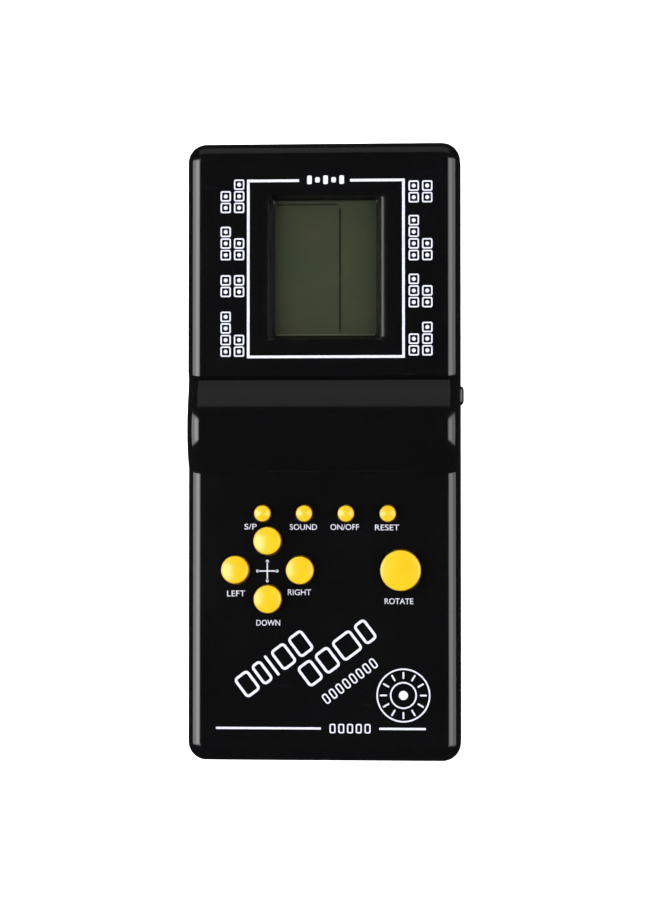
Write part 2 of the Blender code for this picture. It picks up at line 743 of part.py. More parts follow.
def make_screws():
    ends = ["top_left", "top_right", "middle_left", "middle_right", "bottom_left", "bottom_right"]
    for end, at in zip(ends, CASE_SCREWS):
        profile = screw_profile(CASE_SCREW_TIP, *CASE_SCREW_HEAD)
        smooth(turned(f"case_screw_{end}", profile, 12, STEEL, (*at, 0)))
    head_top = BOARD_Z[0] - GAP
    head = (head_top - BOARD_SCREW_HEAD, head_top)
    for end, at in zip(["top_left", "top_right", "bottom_left", "bottom_right"], BOARD_SCREWS):
        profile = screw_profile(BOARD_SCREW_TIP, *head)
        smooth(turned(f"board_screw_{end}", profile, 12, STEEL, (*at, 0)))


def make_sounder():
    for name, radius, low, finish in (
        ("piezo_disc", SOUNDER_RADIUS, DISC_Z, BRASS),
        ("piezo_ceramic", SOUNDER_RADIUS * 0.7, CERAMIC_Z, CERAMIC),
    ):
        bm = bmesh.new()
        add_cylinder(bm, SOUNDER_CENTRE, low, low + SOUNDER_SHEET, radius, 28)
        smooth(mesh_piece(name, bm, finish))


def make_cell(name, y, towards):
    """An AA cell lying along X, with its nub towards +X or -X."""
    nub_end = BAY_HIGH[0] - PLATE_GAP * 2 - PLATE_THICK
    if towards < 0:
        nub_end = BAY_LOW[0] + PLATE_GAP * 2 + PLATE_THICK
    profile = [
        (0, 0),
        (NUB_RADIUS, 0),
        (NUB_RADIUS, -NUB_LENGTH),
        (CELL_RADIUS - CELL_EDGE, -NUB_LENGTH),
        (CELL_RADIUS, -NUB_LENGTH - CELL_EDGE),
        (CELL_RADIUS, -NUB_LENGTH - CELL_LENGTH + CELL_EDGE),
        (CELL_RADIUS - CELL_EDGE, -NUB_LENGTH - CELL_LENGTH),
        (0, -NUB_LENGTH - CELL_LENGTH),
    ]
    turn = (0, towards * math.radians(90), 0)
    smooth(turned(name, profile, 24, CELL_SLEEVE, (nub_end, y, CELL_Z), turn))


def make_spring(name, y, wall_x, towards):
    """A conical coil from the contact plate out to the cell's flat end."""
    turns = 3.5
    per_turn = 10
    wire = SPRING_WIRE
    start = wall_x + towards * (PLATE_GAP * 2 + PLATE_THICK + wire)
    length = abs(BAY_HIGH[0] - BAY_LOW[0]) - 3 * PLATE_GAP - PLATE_THICK
    length -= 2 * PLATE_GAP + PLATE_THICK + NUB_LENGTH + CELL_LENGTH + 2 * wire
    points = []
    for k in range(int(turns * per_turn) + 1):
        share = k / (turns * per_turn)
        angle = 2 * math.pi * k / per_turn
        radius = SPRING_RADII[0] + (SPRING_RADII[1] - SPRING_RADII[0]) * share
        points.append(
            (
                start + towards * length * share,
                y + radius * math.cos(angle),
                CELL_Z + radius * math.sin(angle),
            )
        )
    rod(name, points, wire, STEEL)


def make_contact(name, y):
    """A contact plate on the left-hand wall, with a tab up through the tub's roof."""
    outline = [
        (-PLATE_HALF, PLATE_Z[0]),
        (PLATE_HALF, PLATE_Z[0]),
        (PLATE_HALF, PLATE_Z[1]),
        (TAB_HALF, PLATE_Z[1]),
        (TAB_HALF, TAB_TOP),
        (-TAB_HALF, TAB_TOP),
        (-TAB_HALF, PLATE_Z[1]),
        (-PLATE_HALF, PLATE_Z[1]),
    ]
    low = BAY_LOW[0] + PLATE_GAP
    stood = (math.radians(90), 0, math.radians(90))
    flat_plate(name, [outline], low, low + PLATE_THICK, STEEL, stood, (y, 0))


def make_battery_parts():
    make_cell("cell_lower", CELL_LOWER_Y, 1)
    make_cell("cell_upper", CELL_UPPER_Y, -1)
    make_spring("spring_lower", CELL_LOWER_Y, BAY_LOW[0], 1)
    make_spring("spring_upper", CELL_UPPER_Y, BAY_HIGH[0], -1)
    make_contact("contact_negative", CELL_LOWER_Y)
    make_contact("contact_positive", CELL_UPPER_Y)
    high = (BAY_HIGH[0] - PLATE_GAP, CELL_UPPER_Y + PLATE_HALF, PLATE_Z[1])
    low = (high[0] - PLATE_THICK, CELL_LOWER_Y - PLATE_HALF, PLATE_Z[0])
    box_piece("contact_link", low, high, STEEL)


def make_wires():
    tab_x = BAY_LOW[0] + PLATE_GAP - GAP - WIRE_RADIUS
    side_x = -HALF_WIDTH + 0.0044
    routes = {
        "wire_negative": (
            [
                (tab_x, CELL_LOWER_Y, 0.0194),
                (-0.0350, CELL_LOWER_Y - 0.0012, 0.0185),
                (side_x, -0.0050, 0.0150),
                (side_x + 0.0004, -0.0100, 0.0130),
                (-0.0330, -0.0130, 0.0126),
                (-0.0285, -0.0132, 0.0126),
            ],
            BLACK_WIRE,
        ),
        "wire_positive": (
            [
                (tab_x, CELL_UPPER_Y, 0.0194),
                (-0.0350, CELL_UPPER_Y + 0.0010, 0.0184),
                (side_x, 0.0195, 0.0150),
                (side_x + 0.0004, 0.0240, 0.0132),
                (-0.0335, 0.0278, 0.0127),
                (-0.0285, 0.0285, 0.0126),
            ],
            RED_WIRE,
        ),
        "wire_sounder_ceramic": (
            [
                (-0.0040, -0.0600, 0.0062),
                (-0.0085, -0.0570, 0.0066),
                (-0.0125, -0.0530, 0.0080),
                (-0.0140, -0.0500, 0.0089),
            ],
            RED_WIRE,
        ),
        "wire_sounder_disc": (
            [
                (0.0085, -0.0600, 0.0056),
                (0.0110, -0.0565, 0.0064),
                (0.0130, -0.0525, 0.0080),
                (0.0140, -0.0490, 0.0089),
            ],
            BLACK_WIRE,
        ),
    }
    for name, (points, finish) in routes.items():
        rod(name, smooth_path(points), WIRE_RADIUS, finish)


make_front_shell()
make_back_shell()
make_battery_door()
make_display()
make_board()
make_keypad_membrane()
for key in KEYS:
    make_key(*key)
make_screws()
make_sounder()
make_battery_parts()
make_wires()
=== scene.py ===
"""The looks of a handheld LCD game that lies on its flat back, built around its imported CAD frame.

Metres, in the CAD's frame: +Z is the front, +Y the top edge, +X the right-hand side.
"""

import json
import math

import bmesh
import bpy
from mathutils import Matrix, Vector

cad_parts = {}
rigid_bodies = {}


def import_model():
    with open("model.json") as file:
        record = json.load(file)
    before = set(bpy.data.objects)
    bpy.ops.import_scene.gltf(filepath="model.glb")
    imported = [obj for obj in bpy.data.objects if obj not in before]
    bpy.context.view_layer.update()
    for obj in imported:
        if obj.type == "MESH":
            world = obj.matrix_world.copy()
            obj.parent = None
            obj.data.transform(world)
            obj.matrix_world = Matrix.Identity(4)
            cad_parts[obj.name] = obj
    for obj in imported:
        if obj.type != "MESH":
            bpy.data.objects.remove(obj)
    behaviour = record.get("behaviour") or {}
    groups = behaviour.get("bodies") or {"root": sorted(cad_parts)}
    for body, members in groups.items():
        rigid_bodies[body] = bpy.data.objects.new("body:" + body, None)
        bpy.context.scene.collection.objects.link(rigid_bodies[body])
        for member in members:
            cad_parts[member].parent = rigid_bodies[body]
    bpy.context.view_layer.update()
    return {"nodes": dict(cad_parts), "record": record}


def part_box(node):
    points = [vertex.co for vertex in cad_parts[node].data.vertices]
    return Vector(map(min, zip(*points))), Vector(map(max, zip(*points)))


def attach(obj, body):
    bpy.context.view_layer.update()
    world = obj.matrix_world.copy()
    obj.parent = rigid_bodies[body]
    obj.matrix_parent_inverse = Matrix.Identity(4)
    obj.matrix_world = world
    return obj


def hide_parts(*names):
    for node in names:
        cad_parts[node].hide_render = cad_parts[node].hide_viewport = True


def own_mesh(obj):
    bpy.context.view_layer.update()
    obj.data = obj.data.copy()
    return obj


for leftover in list(bpy.data.objects):
    bpy.data.objects.remove(leftover, do_unlink=True)
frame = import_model()

# Case outline, as in the CAD
HALF_WIDTH = 0.041
HALF_LENGTH = 0.0925
PLAN_RADIUS = 0.0055
FRONT_EDGE = 0.0042
BACK_EDGE = 0.002
WALL = 0.002
DRAFT = 0.03
BACK_RIM = 0.0092
FRONT_RIM = 0.0095
SCREEN_FACE = 0.0224
HOLLOW_START = (0.0224, SCREEN_FACE)
HOLLOW_FLOOR = (0.0212, 0.0212)
ROLL_TOP_EDGE = (0.0186, 0.0221)
ROLL_CREST = (0.0065, 0.026)
ROLL_BOTTOM_EDGE = (-0.0066, 0.020)
KEY_FACE = 0.020
ROLL_STEPS = 14
LUG_LOW = (0.0395, 0.01395, 0.0103)
LUG_HIGH = (0.0418, 0.01965, 0.0165)
LUG_ROUND = 0.0012

# Display
SCREEN_CENTRE = (0.0005, 0.0549)
RECESS_MOUTH = (0.0392, 0.0440)
VIEW_AREA = (0.0303, 0.0405)
BEZEL_BACK = 0.0184
BEZEL_RIM = 0.003
BEZEL_LIP = 0.0005
STEEP_REACH = (0.0017, 0.0012)  # how far the recess's steep walls stand out from the view area
SLOPE_FOOT = SCREEN_FACE - 0.0006
RECESS_CORNER = 0.0009
LCD_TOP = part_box("lcd_panel")[1].z
DIVIDER_X = 0.00475
DIVIDER_INSET = (0.001, 0.0012)  # from the view area's foot, and from the field's top
DIVIDER_LINE = 0.00058
FIELD_TOP = 0.0742
FIELD_INSET = 0.0005
FIELD_LINE = 0.00042
# Painted highlight: a bright line drawn along the bottom edge of the display's glass
EDGE_HIGHLIGHT_INSET = 0.0004
EDGE_HIGHLIGHT_LINE = 0.0003

# Posts, screws and the battery compartment
BOARD_SCREWS = [(-0.027, 0.077), (0.027, 0.077), (-0.026, -0.058), (0.026, -0.058)]
CASE_SCREWS = [(x, y) for y in (0.085, 0.034, -0.085) for x in (-0.035, 0.035)]
BOARD_TOP = 0.0115
POST_RADIUS = 0.0029
POST_FOOT = 0.0066
PILOT_RADIUS = 0.0015
TUBE_RADIUS = 0.0037
TUBE_TOP = 0.0062
HEAD_POCKET = 0.0027
HEAD_POCKET_DEPTH = 0.003
CASE_SCREW_TIP = 0.0115
BOARD_POST_RADIUS = 0.0023
BOARD_SCREW_TIP = 0.0155
SCREW_HEAD_RADIUS = 0.0023
SCREW_HEAD_ROUND = 0.0006
CASE_SCREW_HEAD = (0.0012, 0.0027)
BOARD_SCREW_HEAD = 0.0014
SCREW_RADIUS = 0.0012
SCREW_POINT = 0.0012
THREAD_PITCH = 0.0006
THREAD_END = 0.0009
CROSS_ARM = (0.62, 0.13)  # half length and half width, as shares of the head's radius
CROSS_DEPTH = 0.0008
BAY_LOW = (-0.0325, -0.0086)
BAY_HIGH = (0.0275, 0.0235)
BAY_MIDDLE = (BAY_LOW[0] + BAY_HIGH[0]) / 2
BAY_ROOF = 0.0167
TUB_WALL = 0.002
TUB_TOP = 0.0176
TAB_HALF = 0.0015
CELL_AXES = {"lower": -0.0006, "upper": 0.0153}
CELL_Z = 0.0092
CELL_RADIUS = 0.00725
CELL_CRIMP = 0.0006
NUB_LENGTH = 0.001
NUB_RADIUS = 0.0026
NUB_ROUND = 0.00035
COIL_WIRE = 0.00035
COIL_TURNS = 3.5
COIL_RADII = (0.0042, 0.0028)
DOOR_GAP = 0.0003
DOOR_THICK = 0.0016
DOOR_TAB_X = (-0.0180, 0.0130)
DOOR_TAB_HALF = 0.004
DOOR_TAB_Z = (0.00235, 0.00345)
DOOR_TAB_REACH = 0.0017
DOOR_NECK_Y = (-0.0019, -0.0006)
DOOR_SLOT_TOP = 0.0046
TONGUE_HALF = 0.0055
TONGUE_THICK = 0.001
TONGUE_TOP = 0.005
NOTCH_RADIUS = 0.008
NOTCH_AXIS = (-0.0022, -0.0072)
GRIP_LINES = 7
GRIP_PITCH = 0.0011
GRIP_HALF = 0.009
GRIP_START = 0.0022
ARROW_GAP = 0.0008
ARROW_HALF = 0.0028
SOUNDER_CENTRE = (0.0, -0.060)
SOUNDER_RADIUS = 0.010
SOUNDER_RING_TOP = 0.004
SOUND_HOLE = 0.0009
SOUND_HOLE_RING = 0.0045
GAP = 0.0003
HAIR = 0.00005
OVERSHOOT = 0.001

# Keys
PAD_CENTRE = (-0.0166, -0.0353)
PAD_REACH = (0.0096, 0.0086)
SMALL_CAP = 0.0024
PAD_CAP = 0.0041
ROTATE_CAP = 0.006
SMALL_ROW_X = -0.01815
SMALL_ROW_Y = -0.01845
SMALL_ROW_PITCH = 0.01242
SMALL_KEYS = ["start_pause", "sound", "on_off", "reset"]
PAD_KEYS = {"up": (0, 1), "left": (-1, 0), "right": (1, 0), "down": (0, -1)}
ROTATE_X = 0.0229
# Name, x, y, cap radius
KEYS = [
    *((name, SMALL_ROW_X + k * SMALL_ROW_PITCH, SMALL_ROW_Y, SMALL_CAP) for k, name in enumerate(SMALL_KEYS)),
    *(
        (name, PAD_CENTRE[0] + x * PAD_REACH[0], PAD_CENTRE[1] + y * PAD_REACH[1], PAD_CAP)
        for name, (x, y) in PAD_KEYS.items()
    ),
    ("rotate", ROTATE_X, PAD_CENTRE[1], ROTATE_CAP),
]
CAP_TOP = 0.0232
CROWN_RISE = 0.00045  # how far a cap's face bulges above its edge
CROWN_STEPS = 8
CAP_ROUND = 0.0007
CAP_TILT = math.radians(7)
TILT_HEIGHT = 0.0205
TILT_BLEND = 0.0015  # height above the flange over which the tilt comes in
FLANGE_Z = (0.0166, 0.0176)
FLANGE_REACH = 0.0007
KEY_CLEARANCE = 0.00035
SHEET_Z = (0.0118, 0.0128)
SHEET_LOW = (-0.0325, -0.0505)
SHEET_HIGH = (0.0302, -0.0146)
DOME_TOP = 0.0163
DOME_SPREAD = 0.0005
DOME_LEAN = 0.0003
DOME_WALL = 0.0008
DOME_CEILING = 0.0139

# Print
INK_THICK = 0.00006
FRAME_CENTRE = (0.00075, 0.05435)
FRAME_HALF = (0.0235, 0.02665)
FRAME_LINE = 0.0008
FRAME_BREAK = (-0.0072, 0.0080)
STACK_CELL = 0.0031
STACK_LINE = 0.00043
STACK_DOT = 0.0006
STACK_PITCH = (0.0040, 0.00346)
# Outer column's x, step towards the screen, then (lowest row's y, squares outside, squares inside)
STACKS = [
    (-0.0291, 1, [(0.0726, 2, 3), (0.0585, 3, 2), (0.0475, 2, 2), (0.0297, 4, 2)]),
    (0.0309, -1, [(0.0754, 2, 2), (0.0582, 2, 4), (0.0442, 2, 3), (0.0299, 3, 2)]),
]
HEADER_CENTRE = (0.0007, 0.0808)
HEADER_PITCH = 0.0024
HEADER_HALF = 0.0007
HEADER_HEIGHTS = (0.0013, 0.0008, 0.0013, 0.0008, 0.0013)
HEADER_CORNER = 0.0004
LABEL_HEIGHT = 0.00175
LABEL_WEIGHT = 0.004
# Words, centre, width
LABELS = [
    ("S/P", (-0.0218, -0.0224), 0.0037),
    ("SOUND", (-0.0060, -0.0225), 0.0081),
    ("ON/OFF", (0.0063, -0.0225), 0.0085),
    ("RESET", (0.0189, -0.0226), 0.0072),
    ("LEFT", (-0.0261, -0.0423), 0.0054),
    ("RIGHT", (-0.0072, -0.0419), 0.0069),
    ("DOWN", (-0.0165, -0.0510), 0.0071),
    ("ROTATE", (0.0224, -0.0445), 0.0085),
]
CROSS_CENTRE = (-0.0168, -0.0356)
CROSS_REACH = 0.0029
CROSS_LINE = 0.0004
CROSS_DOT = 0.00045
ROW_TURN = math.radians(37)
ROW_HEIGHT = 0.0072
ROW_CORNER = 0.0013
ROW_SPACE = 0.0012
ROW_LINE = 0.0008
# Centre, then the widths of its outlines, of which the narrowest is a single stroke
ROWS = [
    ((-0.0148, -0.0632), (0.0052, 0.0036, 0.0012, 0.0052, 0.0052)),
    ((0.0040, -0.0599), (0.0052, 0.0052, 0.0070, 0.0042)),
]
RULE_Y = -0.0823
RULES = [(-0.0321, -0.0008), (0.0165, 0.0303)]
RULE_LINE = 0.00065
# Count, pitch, centre, turn, then each outline's half width, half height, corner and line
SMALL_ROWS = [
    (8, 0.0025, (0.0078, -0.0682), ROW_TURN, (0.00085, 0.0016, 0.0007, 0.00042)),
    (5, 0.0026, ((RULES[0][1] + RULES[1][0]) / 2, RULE_Y), 0.0, (0.0009, 0.0014, 0.0005, 0.0004)),
]
EMBLEM_CENTRE = (0.0237, -0.0724)
EMBLEM_RADIUS = 0.0080
EMBLEM_LINE = 0.00045
INNER_RING = EMBLEM_RADIUS * 0.5
TICK_REACH = (EMBLEM_RADIUS * 0.64, EMBLEM_RADIUS * 0.84)
EMBLEM_DOT = EMBLEM_RADIUS * 0.17
TICK_LINE = 0.0005

# Stage, camera and light
FLOOR_FLAT = 1.5
FLOOR_BEND = 0.5
BACKDROP_TOP = 1.6
CAMERA_AT = (0.032, -0.012, 0.620)
CAMERA_AIM = (0.0015, 0.0006, 0.012)
CAMERA_LENS = 80.7  # millimetres, on a 36 mm sensor
# Name, azimuth and angle from the vertical in degrees, distance, size, radiance
SOFT_BOXES = [
    ("left_box", 180, 50, 0.9, (0.66, 1.05), 4.0),
    ("left_glow", 180, 40, 0.85, (0.55, 0.4), 3.4),
    ("right_box", 0, 50, 0.9, (0.66, 1.05), 2.6),
    ("right_glow", 0, 40, 0.85, (0.55, 0.4), 2.0),
    ("far_box", 90, 62, 0.9, (1.1, 0.72), 0.4),
]
WORLD_COLOUR = (0.03, 0.03, 0.032, 1)
NOISE_RANGE = (0.3, 0.7)  # where nearly all of a noise texture's values lie


# ---- materials


class Look:
    """A Principled material under construction, with its nodes placed by object coordinates."""

    def __init__(self, name, **fixed):
        self.made = bpy.data.materials.new(name)
        self.made.use_nodes = True
        self.nodes = self.made.node_tree.nodes
        self.shader = self.nodes["Principled BSDF"]
        self.coordinates = self.nodes.new("ShaderNodeTexCoord").outputs["Object"]
        for socket, value in fixed.items():
            self.shader.inputs[socket.replace("_", " ")].default_value = value

    def link(self, source, target):
        self.made.node_tree.links.new(source, target)

    def stretched(self, scale, turn=0.0):
        mapping = self.nodes.new("ShaderNodeMapping")
        mapping.inputs["Scale"].default_value = scale
        mapping.inputs["Rotation"].default_value = (0, 0, turn)
        self.link(self.coordinates, mapping.inputs["Vector"])
        return mapping.outputs["Vector"]

    def noise(self, scale, detail=3.0, roughness=0.5, vector=None):
        node = self.nodes.new("ShaderNodeTexNoise")
        node.inputs["Scale"].default_value = scale
        node.inputs["Detail"].default_value = detail
        node.inputs["Roughness"].default_value = roughness
        self.link(vector or self.coordinates, node.inputs["Vector"])
        return node.outputs["Fac"]

    def specks(self, scale, size):
        """1 inside sparse round spots, 0 elsewhere."""
        node = self.nodes.new("ShaderNodeTexVoronoi")
        node.inputs["Scale"].default_value = scale
        self.link(self.coordinates, node.inputs["Vector"])
        return self.remap(node.outputs["Distance"], size, size * 0.6)

    def remap(self, source, low, high, to_low=0.0, to_high=1.0):
        node = self.nodes.new("ShaderNodeMapRange")
        self.link(source, node.inputs["Value"])
        for socket, value in zip(node.inputs[1:5], (low, high, to_low, to_high)):
            socket.default_value = value
        return node.outputs["Result"]

    def spread(self, noise, to_low=0.0, to_high=1.0):
        return self.remap(noise, *NOISE_RANGE, to_low, to_high)

    def bricks(self, width, height, gap, offset=0.5):
        """1 on the lines between bricks, 0 elsewhere."""
        node = self.nodes.new("ShaderNodeTexBrick")
        node.offset = offset
        names = ("Scale", "Brick Width", "Row Height", "Mortar Size")
        for name, value in zip(names, (1.0, width, height, gap)):
            node.inputs[name].default_value = value
        self.link(self.coordinates, node.inputs["Vector"])
        return node.outputs["Fac"]

    def along(self, axis):
        node = self.nodes.new("ShaderNodeSeparateXYZ")
        self.link(self.coordinates, node.inputs[0])
        return node.outputs[axis]

    def add(self, first, second):
        node = self.nodes.new("ShaderNodeMath")
        node.use_clamp = True
        self.link(first, node.inputs[0])
        self.link(second, node.inputs[1])
        return node.outputs[0]

    def blend(self, factor, first, second):
        """A colour between two, each of which is a colour or another node's output."""
        node = self.nodes.new("ShaderNodeMix")
        node.data_type = "RGBA"
        self.link(factor, node.inputs["Factor"])
        for socket, value in zip(node.inputs[6:8], (first, second)):
            if isinstance(value, tuple):
                socket.default_value = (*value, 1.0)
            else:
                self.link(value, socket)
        return node.outputs[2]

    def done(self, colour, roughness, height=None, depth=0.0):
        """The material, with its colour, its roughness and the relief that it has, if any."""
        self.link(colour, self.shader.inputs["Base Color"])
        self.link(roughness, self.shader.inputs["Roughness"])
        if height:
            node = self.nodes.new("ShaderNodeBump")
            node.inputs["Strength"].default_value = 1.0
            node.inputs["Distance"].default_value = depth
            self.link(height, node.inputs["Height"])
            self.link(node.outputs["Normal"], self.shader.inputs["Normal"])
        return self.made


def moulded(name, dark, light, rough, grain=2500.0, depth=0.000004, **fixed):
    """A plain moulding: colour and gloss drift slowly, over the tool's fine grain."""
    look = Look(name, **fixed)
    slow = look.noise(120.0, 4.0)
    base = look.blend(look.spread(slow), dark, light)
    return look.done(base, look.spread(slow, *rough), look.noise(grain, 2.0), depth)


def gloss_case():
    """Polished black ABS with hairline scratches and a little dust."""
    look = Look("case_gloss", IOR=1.5)
    slow = look.noise(45.0, 5.0)
    hair = [
        look.remap(look.noise(1.0, 2.0, 0.5, look.stretched(scale, turn)), 0.75, 0.775)
        for scale, turn in (((60.0, 2600.0, 60.0), 0.5), ((2400.0, 55.0, 55.0), 0.35))
    ]
    marks = look.add(look.add(*hair), look.specks(260.0, 0.055))
    base = look.blend(slow, (0.0012, 0.0012, 0.0014), (0.0022, 0.0022, 0.0025))
    faint = look.remap(marks, 0.0, 1.0, 0.0, 0.12)
    worn = look.nodes.new("ShaderNodeMath")
    worn.operation = "MULTIPLY_ADD"
    look.link(marks, worn.inputs[0])
    worn.inputs[1].default_value = 0.12
    look.link(look.spread(slow, 0.10, 0.14), worn.inputs[2])
    marked = look.blend(faint, base, (0.05, 0.05, 0.055))
    return look.done(marked, worn.outputs[0], look.noise(350.0, 2.0), 0.000001)


def satin_case():
    """Black ABS with the spark-eroded grain of the back half."""
    look = Look("case_matte", IOR=1.5)
    slow = look.noise(60.0, 4.0)
    base = look.blend(slow, (0.006, 0.006, 0.0066), (0.011, 0.011, 0.012))
    return look.done(base, look.spread(slow, 0.42, 0.55), look.noise(2600.0, 4.0, 0.7), 0.00003)


def yellow_keys():
    """Satin yellow moulding, with painted shade: the sides below the crown's edge are a darker orange."""
    look = Look("yellow_key", IOR=1.5)
    slow = look.spread(look.noise(160.0))
    face = look.blend(slow, (0.51, 0.320, 0.006), (0.57, 0.355, 0.010))
    # Painted shade: the cap's sides below its rounded edge are painted a darker orange
    side = look.remap(look.along("Z"), CAP_TOP - 0.0011, CAP_TOP - 0.0016)
    rough = look.spread(look.noise(900.0), 0.19, 0.27)
    return look.done(look.blend(side, face, (0.40, 0.20, 0.002)), rough, look.noise(1500.0), 0.0000012)


def printed_ink():
    """Pad-printed white ink, slightly uneven in cover."""
    look = Look("white_ink", IOR=1.45)
    patchy = look.noise(1800.0, 4.0, 0.6)
    cover = look.remap(patchy, 0.35, 0.6)
    base = look.blend(cover, (0.41, 0.42, 0.49), (0.51, 0.52, 0.60))
    return look.done(base, look.spread(patchy, 0.45, 0.6), patchy, 0.000006)


def display_glass():
    """Olive reflective LCD with a few pale specks, and its cell grid just visible."""
    look = Look("lcd_glass", Specular_IOR_Level=0.1)
    slow = look.spread(look.noise(55.0, 4.0))
    olive = look.blend(slow, (0.023, 0.0345, 0.0165), (0.033, 0.0345, 0.0170))
    cell = 0.00185
    lines = look.remap(look.bricks(cell, cell, 0.00008, 0.0), 0.0, 1.0, 0.0, 0.12)
    field = look.blend(lines, olive, (0.02, 0.024, 0.013))
    base = look.blend(look.specks(220.0, 0.05), field, (0.06, 0.063, 0.05))
    return look.done(base, look.spread(look.noise(400.0, 2.0), 0.36, 0.44))


def clear_window():
    """Thin clear acrylic, which dims what lies behind it only a little."""
    look = Look("clear_lens", IOR=1.49, Alpha=0.07)
    slow = look.noise(90.0, 4.0)
    base = look.blend(slow, (0.02, 0.02, 0.02), (0.035, 0.035, 0.035))
    return look.done(base, look.spread(slow, 0.02, 0.06))


def phenolic_board():
    """Brown paper-phenolic board with the dark runs of its tracks under the mask."""
    look = Look("circuit_board", IOR=1.5)
    fibre = look.noise(1.0, 4.0, 0.6, look.stretched((300.0, 2400.0, 300.0)))
    base = look.blend(fibre, (0.20, 0.10, 0.03), (0.32, 0.18, 0.06))
    tracks = look.bricks(0.014, 0.0024, 0.0004)
    tracked = look.blend(tracks, base, (0.09, 0.11, 0.03))
    return look.done(tracked, look.spread(fibre, 0.35, 0.5), tracks, 0.00003)


def cell_wrap():
    """Plain printed sleeve: dark over most of the cell's length, with a copper end."""
    look = Look("cell_sleeve", Metallic=0.55)
    streaks = look.noise(1.0, 3.0, 0.5, look.stretched((60.0, 900.0, 900.0)))
    dark = look.blend(streaks, (0.02, 0.022, 0.026), (0.035, 0.038, 0.044))
    end = look.remap(look.along("X"), 0.0125, 0.0127)
    base = look.blend(end, dark, (0.62, 0.30, 0.11))
    return look.done(base, look.spread(streaks, 0.22, 0.34), look.noise(1500.0, 2.0), 0.000004)


def drawn_metal(name, dark, light, rough):
    """Rolled or plated metal with fine drawing lines."""
    look = Look(name, Metallic=1.0)
    lines = look.noise(1.0, 3.0, 0.6, look.stretched((500.0, 5000.0, 500.0)))
    return look.done(look.blend(lines, dark, light), look.spread(lines, *rough), lines, 0.000004)


MADE_LOOKS = [
    gloss_case(),
    satin_case(),
    clear_window(),
    display_glass(),
    moulded("white_plastic", (0.55, 0.55, 0.52), (0.62, 0.62, 0.59), (0.4, 0.5)),
    moulded("silicone", (0.32, 0.32, 0.30), (0.40, 0.40, 0.38), (0.55, 0.7), 1800.0, 0.00001),
    phenolic_board(),
    moulded("epoxy", (0.006, 0.006, 0.006), (0.012, 0.012, 0.012), (0.15, 0.3), 500.0, 0.00004),
    moulded("capacitor_sleeve", (0.01, 0.02, 0.07), (0.02, 0.035, 0.11), (0.25, 0.35)),
    drawn_metal("brass", (0.55, 0.36, 0.12), (0.70, 0.48, 0.18), (0.25, 0.4)),
    drawn_metal("silvered_ceramic", (0.55, 0.55, 0.52), (0.7, 0.7, 0.66), (0.4, 0.55)),
    cell_wrap(),
    drawn_metal("plated_steel", (0.42, 0.42, 0.40), (0.6, 0.6, 0.58), (0.22, 0.38)),
    moulded("black_wire", (0.008, 0.008, 0.008), (0.014, 0.014, 0.014), (0.4, 0.5)),
    moulded("red_wire", (0.36, 0.01, 0.01), (0.45, 0.02, 0.015), (0.4, 0.5)),
    yellow_keys(),
    moulded("carbon_rubber", (0.012, 0.012, 0.012), (0.022, 0.022, 0.022), (0.7, 0.85)),
]
# The frame's own materials hold the plain names of the slots
LOOKS = {look.name.partition(".")[0]: look for look in MADE_LOOKS}
INK = printed_ink()
LCD_LINE = moulded(
    "lcd_segment", (0.002, 0.003, 0.002), (0.004, 0.005, 0.003), (0.4, 0.5), Specular_IOR_Level=0.1
)
# Painted highlight: the pale olive of the bright line along the display's bottom edge
LCD_EDGE_HIGHLIGHT = moulded("lcd_edge_highlight", (0.050, 0.056, 0.034), (0.062, 0.068, 0.042), (0.3, 0.4))
SLOT_OF = {part["node"]: part["material_slot"] for part in frame["record"]["subparts"]}


# ---- mesh helpers


def linked(name, data):
    """A new object in the scene."""
    obj = bpy.data.objects.new(name, data)
    bpy.context.scene.collection.objects.link(obj)
    return obj


def loose(name, bm, at=(0, 0, 0)):
    """An object that is still being made, and so isn't a piece yet."""
    mesh = bpy.data.meshes.new(name)
    bm.to_mesh(mesh)
    bm.free()
    obj = linked(name, mesh)
    obj.location = at
    return obj


def modify(obj, kind, **settings):
    modifier = obj.modifiers.new(kind.lower(), kind)
    for name, value in settings.items():
        setattr(modifier, name, value)


def cut(obj, tool, operation="DIFFERENCE"):
    """Applies a Boolean at once and removes its tool."""
    modify(obj, "BOOLEAN", object=tool, operation=operation)
    made = applied(obj)
    bpy.data.objects.remove(tool)
    return made


def applied(obj):
    """The object with its modifiers and its placing worked into its mesh."""
    bpy.context.view_layer.update()
    graph = bpy.context.evaluated_depsgraph_get()
    mesh = bpy.data.meshes.new_from_object(obj.evaluated_get(graph))
    mesh.transform(obj.matrix_world)
    name = obj.name
    bpy.data.objects.remove(obj)
    return linked(name, mesh)


def smooth(obj):
    obj.data.shade_smooth()
    obj.data.set_sharp_from_angle(angle=math.radians(32))
    modify(obj, "WEIGHTED_NORMAL", keep_sharp=True, weight=80)
    return obj


def piece(obj, look, body, stands_for=()):
    """Makes the object a piece of the model: its finish, its body and the CAD nodes it stands for."""
    obj.data.materials.clear()
    obj.data.materials.append(look)
    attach(obj, body)
    if stands_for:
        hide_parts(*stands_for)
    return obj


def moulding(obj, slot, body, *stands_for):
    """A smoothed piece in the look of its slot."""
    return piece(smooth(obj), LOOKS[slot], body, stands_for)


def add_box(bm, low, high):
    low, high = Vector(low), Vector(high)
    size = Matrix.Diagonal((*(high - low), 1.0))
    at = Matrix.Translation((low + high) / 2)
    return bmesh.ops.create_cube(bm, size=1.0, matrix=at @ size)["verts"]


def add_cone(bm, centre, z_low, z_high, radius_low, radius_high, sides=48):
    at = Matrix.Translation((*centre, (z_low + z_high) / 2))
    size = {"radius1": radius_low, "radius2": radius_high, "depth": z_high - z_low}
    return bmesh.ops.create_cone(bm, cap_ends=True, segments=sides, matrix=at, **size)["verts"]


def add_cylinder(bm, centre, z_low, z_high, radius, sides=48):
    return add_cone(bm, centre, z_low, z_high, radius, radius, sides)


